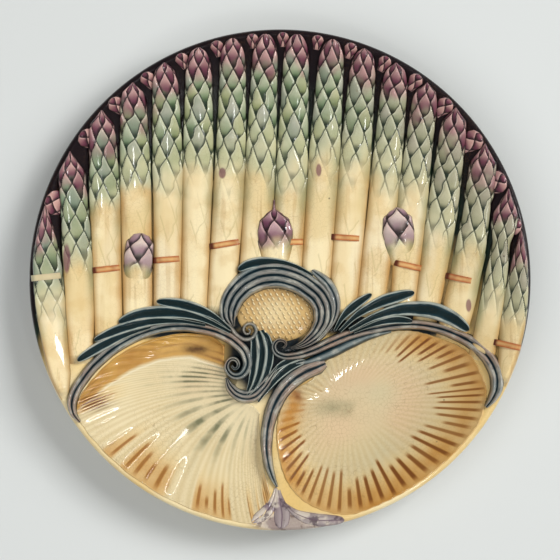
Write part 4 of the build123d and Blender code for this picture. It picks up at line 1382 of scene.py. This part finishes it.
# %% Cartouche
CARTOUCHE = [
    (233, 327, 2.0, 0.8), (228.5, 316, 9.5), (230, 303, 12), (238, 290, 13), (252, 279.5, 14),
    (271, 274.5, 14), (291, 277.5, 13.5), (309, 287, 13), (321.5, 300, 12.5), (325, 315, 12),
    (320, 329, 9.5), (310, 339.5, 6.5), (300, 345.5, 3.6, 0.9), (291, 348, 1.2, 0.7),
]
carve(
    "cartouche",
    [on_grid(*CARTOUCHE)],
    {**RIDGES, "Steps along": 420, "Steps round": 120, "Height": 6.2 * MM, "Strands": 4.0, "Groove": 0.24,
     "Sharpness": 0.7, "Flatness": 6.0, "Glaze": cartouche_glaze},
)
carve(
    "cartouche_leaf",
    [leaf_line(6.0, (313, 275), (299, 267.5), (281, 262.5), (262, 261.5), (248, 264), (238, 269.5))],
    {**LEAF, "Height": 6.2 * MM}, smooth=False,
)
carve(
    "cartouche_side",
    [leaf_line(6.4, (318, 340), (331, 325), (336.5, 309), (334, 294), (326, 281), (312, 269.5))],
    {**RIDGES, "Steps along": 160, "Steps round": 44, "Height": 6.2 * MM, "Strands": 2.0, "Groove": 0.12,
     "Flatness": 4.0, "Glaze": cartouche_glaze}, smooth=False,
)
carve(
    "cartouche_volute",
    [on_grid((226, 314, 1.5, 0.8), (230, 326, 2.6), (238, 336, 2.8), (247, 339.5, 2.8), (254, 335.5, 2.6),
             (255.5, 328, 2.4), (250, 323.5, 2.2), (244.5, 326, 2.0), (243.5, 331, 1.8),
             (247, 334, 1.6, 0.95), (250, 331, 1.4, 0.9), (248, 328.5, 1.0, 0.8))],
    {**RIDGES, "Steps along": 260, "Steps round": 36, "Height": 4.8 * MM, "Strands": 1.0, "Groove": 0.3,
     "Flatness": 3.0, "Glaze": cartouche_glaze},
)

# %% Toe
carve(
    "toe_tip",
    [leaf_line(6.0, (276, 488), (273, 500), (266, 511), (252, 521)),
     leaf_line(8.0, (278, 490), (280, 502), (282, 514), (281, 527)),
     leaf_line(6.0, (284, 503), (297, 513), (316, 518.5), (344, 518.5))],
    {**RIDGES, "Steps along": 90, "Steps round": 60, "Height": 0.9 * MM, "Strands": 2.0, "Groove": 0.5,
     "Flatness": 4.0, "Glaze": toe_glaze}, slot="lavender_glaze", smooth=False,
)

# %% [markdown]
# ## Basket weave
#
# The oval in the middle is pressed with a weave of short slanting ticks. They repeat on a staggered grid,
# which is what instances are for: one small bead is made once, turned one way or the other by its row, and
# laid on a low dome.

# %% The basket tree
# Rows lie closer than the ticks in a row, and ticks beyond a share of the oval are left off.
TICKS_WIDE = 24
TICKS_DEEP = 20
ROW_PITCH = 0.82
UNEVEN = (0.9, 0.6)
PANEL_SHARE = 0.86
TICK_DEPTH = 0.42
TICK_HEIGHT = 0.75
TICK_SLANT = radians(55)
basket_tree, wires = new_tree("Basket weave", {
    "Float": ["Half width", "Half depth", "Dome", "Pitch", "Tick"], "Material": ["Glaze"],
})
dome = wires["Dome"].node("GeometryNodeMeshUVSphere", None, {"Segments": 72, "Rings": 24, "Radius": 1.0})
dome = dome.node("GeometryNodeTransform", None, {
    "Geometry": dome, "Scale": join(wires["Half width"], wires["Half depth"], wires["Dome"]),
})
grid = dome.node("GeometryNodeMeshGrid", None, {
    "Size X": TICKS_WIDE, "Size Y": TICKS_DEEP, "Vertices X": TICKS_WIDE + 1, "Vertices Y": TICKS_DEEP + 1,
})
cell_x, cell_y, _ = split(grid.node("GeometryNodeInputPosition"))
odd = (cell_y + 100.0).maths("ROUND").maths("MODULO", 2.0)
uneven = noise(join(cell_x, cell_y, 0.0), 1.7, 0.0) - 0.5
place_x = (cell_x + odd * 0.5 + uneven * UNEVEN[0]) * wires["Pitch"]
place_y = (cell_y * ROW_PITCH - uneven * UNEVEN[1]) * wires["Pitch"]
off_x, off_y = place_x / wires["Half width"], place_y / wires["Half depth"]
height = (1 - (off_x * off_x + off_y * off_y)).high(0.0) ** 0.5 * wires["Dome"]
points = keep(set_points(grid, place_x, place_y, height), odd=odd)
far_x, far_y, _ = split(points.node("GeometryNodeInputPosition"))
far_x, far_y = far_x / wires["Half width"], far_y / wires["Half depth"]
points = points.node("GeometryNodeDeleteGeometry", {"domain": "POINT"}, {
    "Geometry": points, "Selection": (far_x * far_x + far_y * far_y).maths("GREATER_THAN", PANEL_SHARE),
})
bead = points.node("GeometryNodeMeshUVSphere", None, {"Segments": 10, "Rings": 6, "Radius": 1.0})
bead = bead.node("GeometryNodeTransform", None, {
    "Geometry": bead, "Scale": join(wires["Tick"], wires["Tick"] * TICK_DEPTH, wires["Tick"] * TICK_HEIGHT),
})
row = points.node("GeometryNodeInputNamedAttribute", {"data_type": "FLOAT"}, {"Name": "odd"})
slant = join(0.0, 0.0, row * (2 * TICK_SLANT) - TICK_SLANT)
slant = slant.node("FunctionNodeEulerToRotation", None, {0: slant})
ticks = points.node(
    "GeometryNodeInstanceOnPoints", None, {"Points": points, "Instance": bead, "Rotation": slant}
)
both = dome.node("GeometryNodeJoinGeometry", None, {0: dome})
plug(both.socket.node, {0: ticks})
end_tree(basket_tree, both, wires["Glaze"])

# %% Basket panel
BASKET_PLACE = spot(277, 313)
basket_mesh = grow(stand("basket.holder", bpy.data.meshes.new("basket")), basket_tree, {
    "Half width": 19.5 * MM, "Half depth": 14.0 * MM, "Dome": 2.2 * MM, "Pitch": 2.75 * MM, "Tick": 1.2 * MM,
    "Glaze": basket_glaze,
})
basket_mesh.transform(Matrix.Translation((*BASKET_PLACE, FLOOR_HEIGHT)))
settle("basket_panel_glazed", basket_mesh, "cream_glaze", "basket_panel")

# %% [markdown]
# ## Table, light and camera
#
# The plate lies on a pale table and is seen straight from above. A wide soft lamp from the upper right
# models the form, and a wide fill and the world open the shadows. Glaze looks wet through small crisp
# lights, so three narrow lamps are the only ones that it mirrors.

# %% Table
TABLE_REACH = 4.0
corners = [(x * TABLE_REACH, y * TABLE_REACH, 0) for x, y in ((-1, -1), (1, -1), (1, 1), (-1, 1))]
table_mesh = bpy.data.meshes.new("table")
table_mesh.from_pydata(corners, [], [(0, 1, 2, 3)])
table_paint = bpy.data.materials.new("table_paint")
table_paint.use_nodes = True
plug(table_paint.node_tree.nodes["Principled BSDF"], {"Base Color": tint(210, 213, 211), "Roughness": 0.6})
table_mesh.materials.append(table_paint)
table = stand("table", table_mesh)
print("table is", 2 * TABLE_REACH, "m wide")

# %% Light
# Each lamp looks at the plate's middle: its place, its width and depth, its power, and whether the glaze
# mirrors it.
LAMPS = {
    "window": ((1.6, 0.95, 2.25), (1.2, 1.2), 62.0, False),
    "sparkle": ((0.45, 0.67, 0.90), (0.008, 0.85), 0.4, True),
    "glint": ((0.25, -0.35, 1.0), (0.05, 0.15), 0.5, True),
    "strip": ((1.3, 0.35, 1.0), (0.08, 0.5), 3.0, True),
    "fill": ((-0.5, -0.3, 1.4), (1.4, 1.4), 11.5, False),
}
WORLD_LIGHT = 0.13
for name, (place, size, power, mirrored) in LAMPS.items():
    light = bpy.data.lights.new(name, "AREA")
    light.shape = "RECTANGLE"
    light.size, light.size_y = size
    light.energy = power
    lamp = stand(name, light)
    lamp.location = place
    lamp.rotation_euler = (-Vector(place)).to_track_quat("-Z", "Y").to_euler()
    lamp.visible_glossy = mirrored
world = bpy.data.worlds.new("studio")
bpy.context.scene.world = world
world.use_nodes = True
plug(world.node_tree.nodes["Background"], {"Color": (1.0, 1.0, 1.0, 1.0), "Strength": WORLD_LIGHT})
print("lamps:", *LAMPS)

# %% Camera
CAMERA_HEIGHT = 1.2
VIEW_WIDTH = 0.2677
SENSOR = 36.0
camera = bpy.data.cameras.new("camera")
camera.sensor_width = SENSOR
camera.lens = SENSOR * (CAMERA_HEIGHT - PLATE_HEIGHT) / VIEW_WIDTH
camera_stand = stand("camera", camera)
camera_stand.location = (0.0, 0.0, CAMERA_HEIGHT)
bpy.context.scene.camera = camera_stand
bpy.context.scene.view_settings.view_transform = "Standard"
print("camera's lens is", camera.lens, "mm")

# %% The end
bpy.context.view_layer.update()
